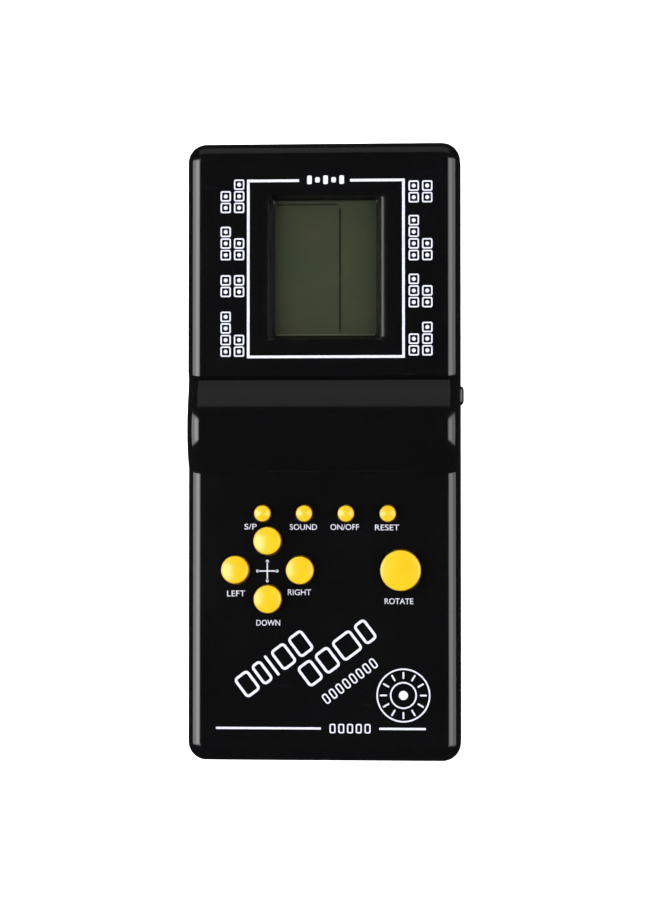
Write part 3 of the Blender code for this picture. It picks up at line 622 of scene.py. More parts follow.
def add_rod(bm, half, radius, sides, at):
    """A cylinder along X, given by half its length and its middle."""
    rod = add_cylinder(bm, (0, 0), -half, half, radius, sides)
    bmesh.ops.transform(bm, matrix=Matrix.Rotation(math.radians(90), 4, "Y"), verts=rod)
    bmesh.ops.translate(bm, verts=rod, vec=at)


def round_edges(bm, edges, radius, segments):
    bmesh.ops.bevel(
        bm, geom=list(edges), offset=radius, segments=segments, affect="EDGES", profile=0.5
    )


def turned(name, profile, steps, at=(0, 0, 0), turn=(0, 0, 0)):
    """A body of revolution from (radius, height) points that run down its outer side."""
    bm = bmesh.new()
    verts = [bm.verts.new((radius, 0.0, height)) for radius, height in profile]
    for upper, lower in zip(verts, verts[1:]):
        bm.edges.new((upper, lower))
    obj = loose(name, bm, at)
    obj.rotation_euler = turn
    merge = {"use_merge_vertices": True, "merge_threshold": 0.000001}
    modify(obj, "SCREW", steps=steps, render_steps=steps, **merge)
    return applied(obj)


def arc(centre, radius, start, end, steps):
    """Points along an arc, with its angles in degrees."""
    angles = [math.radians(start + (end - start) * k / steps) for k in range(steps + 1)]
    return [(centre[0] + radius * math.cos(a), centre[1] + radius * math.sin(a)) for a in angles]


def circle(centre, radius, sides):
    return arc(centre, radius, 0, 360 * (sides - 1) / sides, sides - 1)


def rounded_box(centre, half_x, half_y, radius, steps=4):
    """Points round a rectangle with rounded corners."""
    points = []
    for sx, sy, start in ((1, 1, 0), (-1, 1, 90), (-1, -1, 180), (1, -1, 270)):
        corner = (centre[0] + sx * (half_x - radius), centre[1] + sy * (half_y - radius))
        points += arc(corner, radius, start, start + 90, steps)
    return points


# ---- the case


def arc_to_crest(edge, steps):
    """(y, z) points from an edge of the roll up to, but without, its crest."""
    reach = edge[0] - ROLL_CREST[0]
    drop = ROLL_CREST[1] - edge[1]
    radius = (reach**2 + drop**2) / (2 * drop)
    whole = math.asin(reach / radius)
    y, z = ROLL_CREST
    angles = [whole * (1 - k / steps) for k in range(steps)]
    return [(y + radius * math.sin(a), z - radius * (1 - math.cos(a))) for a in angles]


def lean(z):
    return DRAFT * (z - FRONT_RIM)


def front_outline():
    """(y, z) points of the front's outer face, from the top end's rim to the bottom end's."""
    return [
        (HALF_LENGTH, FRONT_RIM),
        (HALF_LENGTH - lean(SCREEN_FACE), SCREEN_FACE),
        HOLLOW_START,
        HOLLOW_FLOOR,
        *arc_to_crest(ROLL_TOP_EDGE, ROLL_STEPS),
        ROLL_CREST,
        *reversed(arc_to_crest(ROLL_BOTTOM_EDGE, ROLL_STEPS)),
        (-HALF_LENGTH + lean(KEY_FACE), KEY_FACE),
        (-HALF_LENGTH, FRONT_RIM),
    ]


def weigh_upright_corners(bm):
    """Gives a bevel weight to the four upright corner edges of an outline."""
    weight = bm.edges.layers.float.new("bevel_weight_edge")
    for edge in bm.edges:
        ends = [v.co for v in edge.verts]
        near = HALF_WIDTH / 40
        at_corner = all(
            abs(abs(co.x) - HALF_WIDTH) < near and abs(abs(co.y) - HALF_LENGTH) < near for co in ends
        )
        if at_corner and abs(ends[0].z - ends[1].z) > FRONT_EDGE:
            edge[weight] = 1.0


def open_rim(bm, height):
    """Removes the flat face that closes a skin at its rim."""
    rim = [f for f in bm.faces if all(abs(v.co.z - height) < 1e-6 for v in f.verts)]
    bmesh.ops.delete(bm, geom=rim, context="FACES_ONLY")


def front_skin():
    """The front's outer face as an open surface: its side outline drawn out across the width."""
    bm = bmesh.new()
    outline = bm.faces.new([bm.verts.new((-HALF_WIDTH, y, z)) for y, z in front_outline()])
    drawn = bmesh.ops.extrude_face_region(bm, geom=[outline])["geom"]
    moved = [v for v in drawn if isinstance(v, bmesh.types.BMVert)]
    bmesh.ops.translate(bm, verts=moved, vec=(2 * HALF_WIDTH, 0, 0))
    for vert in bm.verts:
        vert.co.x -= math.copysign(lean(vert.co.z), vert.co.x)
    open_rim(bm, FRONT_RIM)
    bmesh.ops.recalc_face_normals(bm, faces=bm.faces)
    crest = max(bm.faces, key=lambda f: f.calc_center_median().z)
    if crest.normal.z < 0:
        bmesh.ops.reverse_faces(bm, faces=bm.faces)
    weigh_upright_corners(bm)
    return bm


def shell(name, skin, edge, segments):
    """Rounds a skin's plan corners and rim, then gives it the wall's thickness."""
    obj = loose(name, skin)
    modify(obj, "BEVEL", width=PLAN_RADIUS, segments=10, limit_method="WEIGHT")
    sharp = {"limit_method": "ANGLE", "angle_limit": math.radians(80), "use_clamp_overlap": False}
    modify(obj, "BEVEL", width=edge, segments=segments, **sharp)
    modify(obj, "SOLIDIFY", thickness=WALL, offset=-1.0, use_even_offset=True)
    return applied(obj)


def post_top(y):
    return (SCREEN_FACE if y > 0 else KEY_FACE) - WALL / 2


def front_additions():
    """Screw posts, the bezel behind the window and the strap lug, which are moulded onto the front."""
    bm = bmesh.new()
    x, y = SCREEN_CENTRE
    half_x = VIEW_AREA[0] / 2 + BEZEL_RIM
    half_y = VIEW_AREA[1] / 2 + BEZEL_RIM
    top = SCREEN_FACE - WALL / 2
    add_box(bm, (x - half_x, y - half_y, BEZEL_BACK), (x + half_x, y + half_y, top))
    for at in CASE_SCREWS:
        add_cylinder(bm, at, POST_FOOT, post_top(at[1]), POST_RADIUS)
    for at in BOARD_SCREWS:
        add_cylinder(bm, at, BOARD_TOP + GAP, post_top(at[1]), BOARD_POST_RADIUS)
    lug = add_box(bm, LUG_LOW, LUG_HIGH)
    edges = {e for v in lug for e in v.link_edges if all(end.co.x > HALF_WIDTH for end in e.verts)}
    edges |= {e for v in lug for e in v.link_edges if abs(e.verts[0].co.x - e.verts[1].co.x) > GAP}
    round_edges(bm, edges, LUG_ROUND, 6)
    return loose("front_additions", bm)


def add_funnel(bm, low, high, size_low, size_high):
    """A four-sided taper round the screen's centre, with rounded corners."""
    verts = add_box(bm, (-0.5, -0.5, low), (0.5, 0.5, high))
    middle = (low + high) / 2
    for vert in verts:
        size = size_high if vert.co.z > middle else size_low
        vert.co.x = SCREEN_CENTRE[0] + vert.co.x * size[0]
        vert.co.y = SCREEN_CENTRE[1] + vert.co.y * size[1]
    upright = {e for v in verts for e in v.link_edges if abs(e.verts[0].co.z - e.verts[1].co.z) > GAP}
    round_edges(bm, upright, RECESS_CORNER, 5)


def grown(size, by_x, by_y):
    return (size[0] + 2 * by_x, size[1] + 2 * by_y)


def recess_tools():
    """Cutters for the window: a shallow slope from its mouth, then steep walls down to a narrow lip."""
    steep_top = grown(VIEW_AREA, *STEEP_REACH)
    lip = BEZEL_LIP + HAIR
    high = SCREEN_FACE + GAP
    share = (high - SLOPE_FOOT) / (SCREEN_FACE - SLOPE_FOOT)
    mouth = [low + (wide - low) * share for low, wide in zip(steep_top, RECESS_MOUTH)]
    lip_top = BEZEL_BACK + BEZEL_LIP
    tools = []
    for name, *funnel in (
        ("slope", SLOPE_FOOT, high, steep_top, mouth),
        ("steep", lip_top, SLOPE_FOOT + HAIR, grown(VIEW_AREA, BEZEL_LIP, BEZEL_LIP), steep_top),
        ("lip", BEZEL_BACK - HAIR, lip_top + HAIR, VIEW_AREA, grown(VIEW_AREA, lip, lip)),
        ("through", BEZEL_BACK - OVERSHOOT, BEZEL_BACK + GAP, VIEW_AREA, VIEW_AREA),
    ):
        bm = bmesh.new()
        add_funnel(bm, *funnel)
        tools.append(loose(name, bm))
    return tools


def hole_tools():
    """Cutters for the key holes, with a small chamfer, and for the pilot holes."""
    straight = bmesh.new()
    flared = bmesh.new()
    for _, x, y, radius in KEYS:
        wide = radius + KEY_CLEARANCE
        add_cylinder(straight, (x, y), KEY_FACE - WALL - OVERSHOOT, KEY_FACE + OVERSHOOT, wide, 64)
        add_cone(flared, (x, y), KEY_FACE - GAP, KEY_FACE + GAP, wide, wide + 2 * GAP, 64)
    for at in CASE_SCREWS:
        add_cylinder(straight, at, POST_FOOT - OVERSHOOT, CASE_SCREW_TIP + OVERSHOOT, PILOT_RADIUS)
    for at in BOARD_SCREWS:
        add_cylinder(straight, at, BOARD_TOP - OVERSHOOT, BOARD_SCREW_TIP + OVERSHOOT, PILOT_RADIUS)
    return [loose("straight_holes", straight), loose("flared_holes", flared)]


def make_front():
    front = shell("front_moulding", front_skin(), FRONT_EDGE, 12)
    front = cut(front, front_additions(), "UNION")
    for tool in recess_tools() + hole_tools():
        front = cut(front, tool)
    moulding(front, "case_gloss", "case", "front_shell")


def back_skin():
    bm = bmesh.new()
    add_box(bm, (-HALF_WIDTH, -HALF_LENGTH, 0), (HALF_WIDTH, HALF_LENGTH, BACK_RIM))
    weigh_upright_corners(bm)
    open_rim(bm, BACK_RIM)
    return bm


def back_additions():
    """The battery tub, the screw tubes and the ring that holds the sounder."""
    bm = bmesh.new()
    low = (BAY_LOW[0] - TUB_WALL, BAY_LOW[1] - TUB_WALL, WALL / 2)
    high = (BAY_HIGH[0] + TUB_WALL, BAY_HIGH[1] + TUB_WALL, TUB_TOP)
    add_box(bm, low, high)
    for at in CASE_SCREWS:
        add_cylinder(bm, at, WALL / 2, TUBE_TOP, TUBE_RADIUS)
    add_cylinder(bm, SOUNDER_CENTRE, WALL / 2, SOUNDER_RING_TOP, SOUNDER_RADIUS + OVERSHOOT)
    return loose("back_additions", bm)


def back_openings():
    bm = bmesh.new()
    add_box(bm, (*BAY_LOW, -OVERSHOOT), (*BAY_HIGH, BAY_ROOF))
    for at in CASE_SCREWS:
        add_cylinder(bm, at, -OVERSHOOT, HEAD_POCKET_DEPTH, HEAD_POCKET)
    ledge = SOUNDER_RADIUS - 0.8 * OVERSHOOT
    add_cylinder(bm, SOUNDER_CENTRE, WALL + HAIR, SOUNDER_RING_TOP + OVERSHOOT, ledge)
    return loose("back_openings", bm)


def back_chamfers():
    """The soft mouths of the screw pockets and of the sound holes."""
    bm = bmesh.new()
    for at in CASE_SCREWS:
        add_cone(bm, at, -GAP, GAP, HEAD_POCKET + 2 * GAP, HEAD_POCKET)
    for at in sound_holes():
        add_cone(bm, at, -GAP, GAP, SOUND_HOLE + 2 * GAP, SOUND_HOLE, 24)
    return loose("back_chamfers", bm)


def sound_holes():
    return [SOUNDER_CENTRE, *circle(SOUNDER_CENTRE, SOUND_HOLE_RING, 6)]


def back_small_openings():
    """Screw holes, sound holes, the slots for the contact tabs and the hooks, and the finger notch."""
    bm = bmesh.new()
    for at in CASE_SCREWS:
        add_cylinder(bm, at, HEAD_POCKET_DEPTH - OVERSHOOT, TUBE_TOP + OVERSHOOT, PILOT_RADIUS, 24)
    for at in sound_holes():
        add_cylinder(bm, at, -OVERSHOOT, WALL + OVERSHOOT / 2, SOUND_HOLE, 24)
    for y in CELL_AXES.values():
        low = (BAY_LOW[0] + HAIR, y - TAB_HALF - GAP, BAY_ROOF - OVERSHOOT)
        add_box(bm, low, (BAY_LOW[0] + OVERSHOOT, y + TAB_HALF + GAP, TUB_TOP + OVERSHOOT))
    for x in DOOR_TAB_X:
        half = DOOR_TAB_HALF + GAP
        low = (x - half, BAY_HIGH[1] - 4 * HAIR, WALL + HAIR)
        add_box(bm, low, (x + half, BAY_HIGH[1] + TUB_WALL + OVERSHOOT / 2, DOOR_SLOT_TOP))
    notch_at = (BAY_MIDDLE, BAY_LOW[1] + NOTCH_AXIS[0], NOTCH_AXIS[1])
    add_rod(bm, TONGUE_HALF, NOTCH_RADIUS, 64, notch_at)
    return loose("back_small_openings", bm)


def make_back():
    back = shell("back_moulding", back_skin(), BACK_EDGE, 8)
    back = cut(back, back_additions(), "UNION")
    for tool in (back_openings(), back_small_openings(), back_chamfers()):
        back = cut(back, tool)
    moulding(back, "case_matte", "case", "back_shell")


def door_grip():
    """Grooves for the finger near the door's lower edge, and an engraved arrow above them."""
    bm = bmesh.new()
    start = BAY_LOW[1] + GRIP_START
    for k in range(GRIP_LINES):
        add_rod(bm, GRIP_HALF, GAP, 12, (BAY_MIDDLE, start + k * GRIP_PITCH, 0))
    at = (BAY_MIDDLE, start + GRIP_LINES * GRIP_PITCH + ARROW_GAP + ARROW_HALF)
    arrow = add_cylinder(bm, at, -GAP, GAP, ARROW_HALF, 3)
    pivot = Matrix.Translation((*at, 0))
    half_turn = pivot @ Matrix.Rotation(math.radians(180), 4, "Z") @ pivot.inverted()
    bmesh.ops.transform(bm, matrix=half_turn, verts=arrow)
    return loose("door_grip", bm)


def make_door():
    low = (BAY_LOW[0] + DOOR_GAP, BAY_LOW[1] + DOOR_GAP, 0)
    high = (BAY_HIGH[0] - DOOR_GAP, BAY_HIGH[1] - DOOR_GAP, DOOR_THICK)
    bm = bmesh.new()
    plate = add_box(bm, low, high)
    round_edges(bm, {e for v in plate for e in v.link_edges}, GAP / 2, 3)
    door = loose("door_moulding", bm)
    hinge_y = BAY_HIGH[1]
    necks, hooks = bmesh.new(), bmesh.new()
    for x in DOOR_TAB_X:
        near = (x - DOOR_TAB_HALF, hinge_y + DOOR_NECK_Y[0], DOOR_THICK / 2)
        add_box(necks, near, (x + DOOR_TAB_HALF, hinge_y + DOOR_NECK_Y[1], DOOR_TAB_Z[1]))
        half = DOOR_TAB_HALF - 2 * HAIR
        near = (x - half, hinge_y + sum(DOOR_NECK_Y) / 2, DOOR_TAB_Z[0])
        add_box(hooks, near, (x + half, hinge_y + DOOR_TAB_REACH, DOOR_TAB_Z[1] - 2 * HAIR))
    tongue_y = low[1] + DOOR_GAP
    tongue = (BAY_MIDDLE - TONGUE_HALF, tongue_y, DOOR_THICK / 2)
    add_box(necks, tongue, (BAY_MIDDLE + TONGUE_HALF, tongue_y + TONGUE_THICK, TONGUE_TOP))
    door = cut(door, loose("door_necks", necks), "UNION")
    door = cut(door, loose("door_hooks", hooks), "UNION")
    door = cut(door, door_grip())
    moulding(door, "case_matte", "door", "battery_door")


# ---- keys and keypad


def cap_profile(radius):
    """(radius, height) points of a crowned cap with a rounded edge and a flange at its foot."""
    flat = radius - CAP_ROUND
    edge_top = CAP_TOP - CROWN_RISE
    shares = [k / CROWN_STEPS for k in range(CROWN_STEPS)]
    crown = [(flat * share, edge_top + CROWN_RISE * (1 - share**2)) for share in shares]
    rim = arc((flat, edge_top - CAP_ROUND), CAP_ROUND, 82, 0, 8)
    return [
        *crown,
        *rim,
        (radius, FLANGE_Z[1]),
        (radius + FLANGE_REACH, FLANGE_Z[1]),
        (radius + FLANGE_REACH, FLANGE_Z[0]),
        (0, FLANGE_Z[0]),
    ]


def lean_back(cap, centre):
    """Tilts a cap towards the upper left above its flange, which stays level."""
    pivot = Matrix.Translation((*centre, TILT_HEIGHT))
    tilt = pivot @ Matrix.Rotation(CAP_TILT, 4, Vector((-1, -1, 0))) @ pivot.inverted()
    for vert in cap.data.vertices:
        share = min(max((vert.co.z - FLANGE_Z[1]) / TILT_BLEND, 0.0), 1.0)
        vert.co = vert.co.lerp(tilt @ vert.co, share)


def make_keys():
    """The caps, two of which sit a little askew in their holes."""
    for name, x, y, radius in KEYS:
        cap = turned(f"cap_{name}", cap_profile(radius), 72, (x, y, 0))
        if name in ("up", "left"):
            lean_back(cap, (x, y))
        cap.visible_glossy = False
        moulding(cap, "yellow_key", f"{name}_key", f"key_{name}")


def make_membrane():
    """The silicone sheet, and a dome under each key."""
    bm = bmesh.new()
    add_box(bm, (*SHEET_LOW, SHEET_Z[0]), (*SHEET_HIGH, SHEET_Z[1]))
    sheet = loose("keypad_sheet", bm)
    holes = bmesh.new()
    for _, x, y, radius in KEYS:
        foot = radius + DOME_SPREAD - DOME_WALL
        add_cylinder(holes, (x, y), SHEET_Z[0] - OVERSHOOT, SHEET_Z[1] + OVERSHOOT, foot)
    sheet = cut(sheet, loose("dome_holes", holes))
    moulding(sheet, "silicone", "case", "keypad_membrane")
    for name, x, y, radius in KEYS:
        foot = radius + DOME_SPREAD
        crown = radius - DOME_LEAN
        profile = [
            (0, DOME_TOP),
            (crown - GAP, DOME_TOP),
            (crown, DOME_TOP - GAP),
            (foot, SHEET_Z[1]),
            (foot - DOME_WALL, SHEET_Z[1]),
            (crown - DOME_LEAN, DOME_CEILING),
            (0, DOME_CEILING),
        ]
        dome = turned(f"dome_{name}", profile, 48, (x, y, 0))
        moulding(dome, "silicone", "case")
        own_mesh(dome)


# ---- screws and cells


def screw_profile(tip, head_low, head_high):
    """A pan-head screw with its head at the bottom and ridges for its thread."""
    thread = []
    z = tip - SCREW_POINT
    while z > head_high + THREAD_END:
        root = (SCREW_RADIUS * 0.8, z - THREAD_PITCH * 5 / 12)
        thread += [(SCREW_RADIUS, z), root, (SCREW_RADIUS, z - THREAD_PITCH * 5 / 6)]
        z -= THREAD_PITCH
    shoulder = (SCREW_HEAD_RADIUS - SCREW_HEAD_ROUND, head_low + SCREW_HEAD_ROUND)
    return [
        (0, tip),
        (SCREW_RADIUS * 0.4, tip - SCREW_POINT / 6),
        *thread,
        (SCREW_RADIUS, head_high),
        (SCREW_HEAD_RADIUS, head_high),
        *arc(shoulder, SCREW_HEAD_ROUND, 0, -90, 5),
        (0, head_low),
    ]


def make_screw(kind, end, at, tip, head_low, head_high):
    screw = turned(f"screw_{kind}_{end}", screw_profile(tip, head_low, head_high), 40, (*at, 0))
    long, short = [SCREW_HEAD_RADIUS * share for share in CROSS_ARM]
    for half_x, half_y in ((long, short), (short, long)):
        arm = bmesh.new()
        low = (at[0] - half_x, at[1] - half_y, head_low - OVERSHOOT)
        add_box(arm, low, (at[0] + half_x, at[1] + half_y, head_low + CROSS_DEPTH))
        screw = cut(screw, loose("cross_arm", arm))
    moulding(screw, "plated_steel", "case", f"{kind}_screw_{end}")


def make_screws():
    ends = ["top_left", "top_right", "middle_left", "middle_right", "bottom_left", "bottom_right"]
    for end, at in zip(ends, CASE_SCREWS):
        make_screw("case", end, at, CASE_SCREW_TIP, *CASE_SCREW_HEAD)
    for end, at in zip(ends[:2] + ends[4:], BOARD_SCREWS):
        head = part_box(f"board_screw_{end}")[0].z
        make_screw("board", end, at, BOARD_SCREW_TIP, head, head + BOARD_SCREW_HEAD)


def make_cells():
    """Two AA cells: a sleeved can with a crimped end and a bright nub."""
    shoulder = CELL_RADIUS - CELL_CRIMP
    for which, towards in (("lower", 1), ("upper", -1)):
        low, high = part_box(f"cell_{which}")
        end = high.x if towards > 0 else low.x
        foot = low.x - high.x
        body = [
            (0, -NUB_LENGTH),
            (CELL_RADIUS - 0.0018, -NUB_LENGTH),
            (CELL_RADIUS - 0.0015, -NUB_LENGTH + 0.0002),
            *arc((shoulder, -NUB_LENGTH - CELL_CRIMP), CELL_CRIMP, 90, 0, 5),
            *reversed(arc((shoulder, foot + CELL_CRIMP), CELL_CRIMP, -90, 0, 5)),
            (CELL_RADIUS - 0.0013, foot),
            (CELL_RADIUS - 0.0016, foot + 0.0003),
            (0, foot + 0.0003),
        ]
        button = [
            (0, 0),
            (NUB_RADIUS - 0.0004, 0),
            *arc((NUB_RADIUS - 0.0003, -NUB_ROUND), NUB_ROUND, 80, 0, 4),
            (NUB_RADIUS, -NUB_LENGTH - HAIR),
            (0, -NUB_LENGTH - HAIR),
        ]
        flat = foot + 0.0004
        base = [(0, flat), (CELL_RADIUS - 0.002, flat), (CELL_RADIUS - 0.0022, foot), (0, foot)]
        for name, profile, sides, slot, nodes in (
            ("sleeve", body, 64, "cell_sleeve", [f"cell_{which}"]),
            ("button", button, 48, "plated_steel", []),
            ("base", base, 48, "plated_steel", []),
        ):
            at = (end, CELL_AXES[which], CELL_Z)
            made = turned(f"cell_{which}_{name}", profile, sides, at, (0, towards * math.radians(90), 0))
            moulding(made, slot, "case", *nodes)


def make_springs():
    """Conical coils from the contact plates to the cells' flat ends."""
    per_turn = 28
    for which, towards in (("lower", 1), ("upper", -1)):
        low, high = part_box(f"spring_{which}")
        start = low.x + COIL_WIRE if towards > 0 else high.x - COIL_WIRE
        length = (high.x - low.x) - 2 * COIL_WIRE
        curve = bpy.data.curves.new(f"coil_{which}", "CURVE")
        curve.dimensions = "3D"
        curve.bevel_depth = COIL_WIRE
        curve.bevel_resolution = 3
        curve.use_fill_caps = True
        spline = curve.splines.new("POLY")
        count = int(COIL_TURNS * per_turn)
        spline.points.add(count)
        for k, point in enumerate(spline.points):
            share = k / count
            radius = COIL_RADII[0] + (COIL_RADII[1] - COIL_RADII[0]) * share
            angle = 2 * math.pi * k / per_turn
            x = start + towards * length * share
            y = CELL_AXES[which] + radius * math.cos(angle)
            point.co = (x, y, CELL_Z + radius * math.sin(angle), 1.0)
        coil = applied(linked(f"coil_{which}", curve))
        coil.data.shade_smooth()
        piece(coil, LOOKS["plated_steel"], "case", [f"spring_{which}"])


# ---- print


class Print:
    """Flat shapes of ink on one face of the case, which become one thin piece."""

    def __init__(self, face):
        self.bm = bmesh.new()
        self.face = face

    def fill(self, loop):
        self.bm.faces.new([self.bm.verts.new((x, y, self.face)) for x, y in loop])

    def ring(self, outer, inner):
        """The area between two loops of equally many points."""
        rows = [[self.bm.verts.new((x, y, self.face)) for x, y in loop] for loop in (outer, inner)]
        for k in range(len(outer)):
            n = (k + 1) % len(outer)
            self.bm.faces.new((rows[0][k], rows[0][n], rows[1][n], rows[1][k]))

    def bar(self, start, end, width, rounded=False):
        start, end = Vector(start), Vector(end)
        along = (end - start).normalized()
        turn = math.degrees(math.atan2(along.y, along.x))
        if rounded:
            loop = arc(end, width / 2, turn - 90, turn + 90, 8)
            self.fill(loop + arc(start, width / 2, turn + 90, turn + 270, 8))
            return
        side = Vector((-along.y, along.x)) * width / 2
        self.fill([tuple(p) for p in (start - side, end - side, end + side, start + side)])

    def dot(self, centre, radius, sides=20):
        self.fill(circle(centre, radius, sides))

    def box(self, centre, half_x, half_y, radius, line, turn=0.0):
        """The outline of a rounded box, turned about its own centre."""
        loops = (
            rounded_box((0, 0), half_x, half_y, radius),
            rounded_box((0, 0), half_x - line, half_y - line, max(radius - line, line / 4)),
        )
        self.ring(*[[placed(p, centre, turn) for p in loop] for loop in loops])

    def block(self, centre, half_x, half_y, radius, turn=0.0):
        loop = rounded_box((0, 0), half_x, half_y, radius)
        self.fill([placed(p, centre, turn) for p in loop])

    def words(self, text, centre, width):
        """A word in the program's built-in letters, fitted to a width and the labels' height."""
        curve = bpy.data.curves.new("word", "FONT")
        curve.body = text
        curve.offset = LABEL_WEIGHT
        curve.resolution_u = 4
        word = applied(linked("word", curve))
        word.data.transform(Matrix.Translation((0, 0, self.face)))
        for axis, size in enumerate((width, LABEL_HEIGHT)):
            places = [v.co[axis] for v in word.data.vertices]
            low, high = min(places), max(places)
            for v in word.data.vertices:
                v.co[axis] = centre[axis] + (v.co[axis] - (low + high) / 2) * size / (high - low)
        self.bm.from_mesh(word.data)
        bpy.data.objects.remove(word)

    def finish(self, name, look=INK):
        bmesh.ops.recalc_face_normals(self.bm, faces=self.bm.faces)
        for f in self.bm.faces:
            if f.normal.z < 0:
                f.normal_flip()
        obj = loose(name, self.bm)
        modify(obj, "SOLIDIFY", thickness=INK_THICK, offset=0.0)
        return piece(applied(obj), look, "case")


def placed(point, centre, turn):
    c, s = math.cos(turn), math.sin(turn)
    return (centre[0] + c * point[0] - s * point[1], centre[1] + s * point[0] + c * point[1])


def print_screen_face():
    ink = Print(SCREEN_FACE)
    x, y = FRAME_CENTRE
    paths = []
    for inset in (0, FRAME_LINE):
        left, right = x - FRAME_HALF[0] + inset, x + FRAME_HALF[0] - inset
        low, high = y - FRAME_HALF[1] + inset, y + FRAME_HALF[1] - inset
        corners = [(left, high), (left, low), (right, low), (right, high)]
        paths.append([(FRAME_BREAK[0], high), *corners, (FRAME_BREAK[1], high)])
    ink.fill(paths[0] + paths[1][::-1])
    for outer_x, step, stacks in STACKS:
        for base, outside, inside in stacks:
            for column, count in enumerate((outside, inside)):
                for row in range(count):
                    at = (outer_x + step * column * STACK_PITCH[0], base + row * STACK_PITCH[1])
                    half = STACK_CELL / 2
                    ink.box(at, half, half, half * 0.35, STACK_LINE)
                    ink.dot(at, STACK_DOT)
    for k, half_y in enumerate(HEADER_HEIGHTS):
        at = (HEADER_CENTRE[0] + (k - 2) * HEADER_PITCH, HEADER_CENTRE[1])
        ink.block(at, HEADER_HALF, half_y, HEADER_CORNER)
    ink.finish("screen_print")


def print_key_labels():
    ink = Print(KEY_FACE)
    for text, centre, width in LABELS:
        ink.words(text, centre, width)
    x, y = CROSS_CENTRE
    reach, line = CROSS_REACH, CROSS_LINE
    ink.bar((x - reach, y), (x + reach, y), line)
    ink.bar((x, y + line / 2), (x, y + reach), line)
    ink.bar((x, y - reach), (x, y - line / 2), line)
    for sx, sy in ((1, 0), (-1, 0), (0, 1), (0, -1)):
        ink.dot((x + sx * reach, y + sy * reach), CROSS_DOT)
    ink.finish("key_labels")


def print_lower_face():
    """Plain outlines along two slanting rows and a small one, a dial emblem and a broken rule."""
    ink = Print(KEY_FACE)
    tall, line = ROW_HEIGHT / 2, ROW_LINE
    for centre, widths in ROWS:
        along = -(sum(widths) + ROW_SPACE * (len(widths) - 1)) / 2
        for width in widths:
            at = placed((along + width / 2, 0), centre, ROW_TURN)
            if width > 3 * line:
                ink.box(at, width / 2, tall, ROW_CORNER, line, ROW_TURN)
            else:
                ink.block(at, line / 2, tall, line / 3, ROW_TURN)
            along += width + ROW_SPACE
    for count, pitch, centre, turn, outline in SMALL_ROWS:
        for k in range(count):
            ink.box(placed(((k - (count - 1) / 2) * pitch, 0), centre, turn), *outline, turn)
    for start, end in RULES:
        ink.bar((start, RULE_Y), (end, RULE_Y), RULE_LINE)
    for radius in (EMBLEM_RADIUS, INNER_RING):
        outer, inner = [circle(EMBLEM_CENTRE, r, 64) for r in (radius, radius - EMBLEM_LINE)]
        ink.ring(outer, inner)
    for k in range(12):
        start, end = [placed((radius, 0), EMBLEM_CENTRE, k * math.pi / 6) for radius in TICK_REACH]
        ink.bar(start, end, TICK_LINE, True)
    ink.dot(EMBLEM_CENTRE, EMBLEM_DOT, 32)
    ink.finish("lower_print")


def make_display_marks():
    """The display's own dark lines, and a painted highlight along the bottom edge of its glass."""
    x, y = SCREEN_CENTRE
    left, right = x - VIEW_AREA[0] / 2, x + VIEW_AREA[0] / 2
    low = y - VIEW_AREA[1] / 2
    lines = Print(LCD_TOP)
    foot, head = low + DIVIDER_INSET[0], FIELD_TOP - DIVIDER_INSET[1]
    lines.bar((DIVIDER_X, foot), (DIVIDER_X, head), DIVIDER_LINE)
    lines.bar((left + FIELD_INSET, FIELD_TOP), (DIVIDER_X - FIELD_INSET, FIELD_TOP), FIELD_LINE)
    lines.finish("lcd_lines", LCD_LINE)
    # Painted highlight: a pale band along the bottom edge of the display
    edge = Print(LCD_TOP)
    highlight_y = low + EDGE_HIGHLIGHT_INSET
    edge.bar((left, highlight_y), (right, highlight_y), EDGE_HIGHLIGHT_LINE)
    edge.finish("lcd_bottom_highlight", LCD_EDGE_HIGHLIGHT)


# ---- frame nodes, floor, light, camera


def dress_frame():
    """Gives each CAD node that still shows its finish, and softens the edges of the plain ones."""
    for name, node in frame["nodes"].items():
        if node.hide_render:
            continue
        node.data.materials.clear()
        node.data.materials.append(LOOKS[SLOT_OF[name]])
        if name.startswith(("contact_", "lcd_", "window_", "zebra", "main_", "piezo")):
            modify(node, "BEVEL", width=0.0001, segments=2, limit_method="ANGLE", angle_limit=1.0)


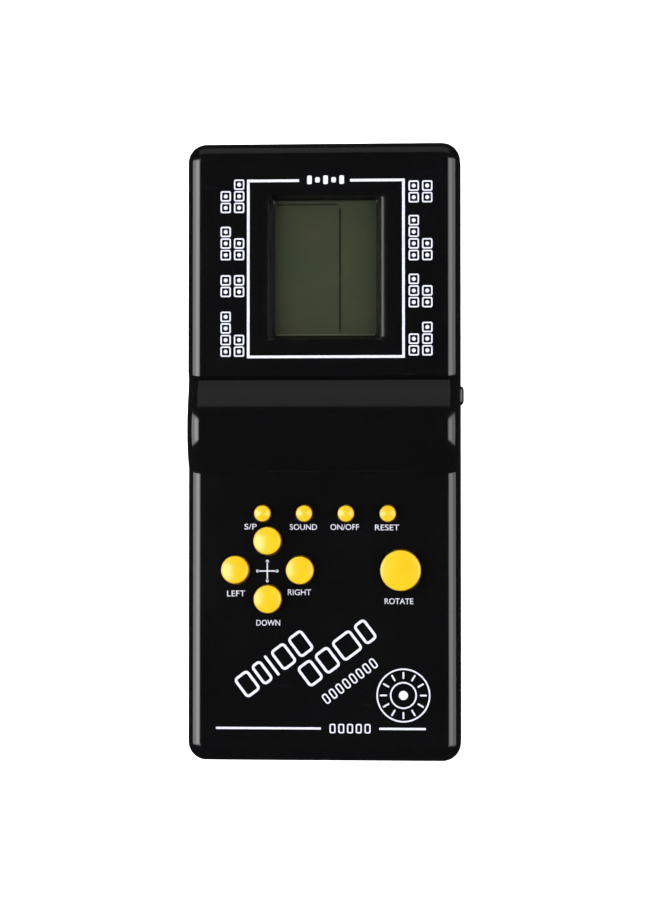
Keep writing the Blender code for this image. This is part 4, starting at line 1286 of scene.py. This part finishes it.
def make_stage():
    """A pale floor that curves up into a backdrop well outside the object."""
    bend = arc((FLOOR_FLAT, FLOOR_BEND), FLOOR_BEND, -90, 0, 16)
    profile = [(0, 0), (FLOOR_FLAT, 0), *bend, (FLOOR_FLAT + FLOOR_BEND, BACKDROP_TOP)]
    floor = turned("floor", profile[::-1], 96)
    floor.location.z = -HAIR
    look = Look("floor_paper", Emission_Color=(1, 1, 1, 1), Emission_Strength=1.0)
    paper = look.blend(look.noise(6.0), (0.84, 0.84, 0.84), (0.87, 0.87, 0.87))
    floor.data.materials.append(look.done(paper, look.spread(look.noise(40.0, 2.0), 0.85, 0.95)))
    floor.data.shade_smooth()
    floor.visible_glossy = False


def soft_box(name, azimuth, from_vertical, distance, size, radiance):
    """A rectangular light facing the object; azimuth 0 is +X and 90 is +Y, in degrees."""
    turn, tilt = math.radians(azimuth), math.radians(from_vertical)
    side = math.sin(tilt) * distance
    at = Vector((side * math.cos(turn), side * math.sin(turn), math.cos(tilt) * distance))
    data = bpy.data.lights.new(name, "AREA")
    data.shape = "RECTANGLE"
    data.size, data.size_y = size
    data.energy = math.pi * size[0] * size[1] * radiance
    lamp = linked(name, data)
    lamp.location = at
    lamp.rotation_euler = facing(at, Vector((0, 0, 0)), Vector((0, 0, 1))).to_euler()
    lamp.visible_camera = False


def facing(at, target, above):
    """A rotation whose -Z looks from one point at another, with its +Y towards above."""
    back = (at - target).normalized()
    right = above.cross(back).normalized()
    return Matrix((right, back.cross(right), back)).transposed()


def make_lights():
    for box in SOFT_BOXES:
        soft_box(*box)
    world = bpy.data.worlds.new("studio")
    world.use_nodes = True
    world.node_tree.nodes["Background"].inputs["Color"].default_value = WORLD_COLOUR
    bpy.context.scene.world = world
    bpy.context.scene.view_settings.view_transform = "Standard"


def make_camera():
    data = bpy.data.cameras.new("camera")
    data.lens = CAMERA_LENS
    data.clip_start = 0.01
    camera = linked("camera", data)
    at = Vector(CAMERA_AT)
    camera.location = at
    camera.rotation_euler = facing(at, Vector(CAMERA_AIM), Vector((0, 1, 0))).to_euler()
    bpy.context.scene.camera = camera


make_camera()
make_front()
make_back()
make_door()
make_keys()
make_membrane()
make_screws()
make_cells()
make_springs()
print_screen_face()
print_key_labels()
print_lower_face()
make_display_marks()
dress_frame()
make_stage()
make_lights()
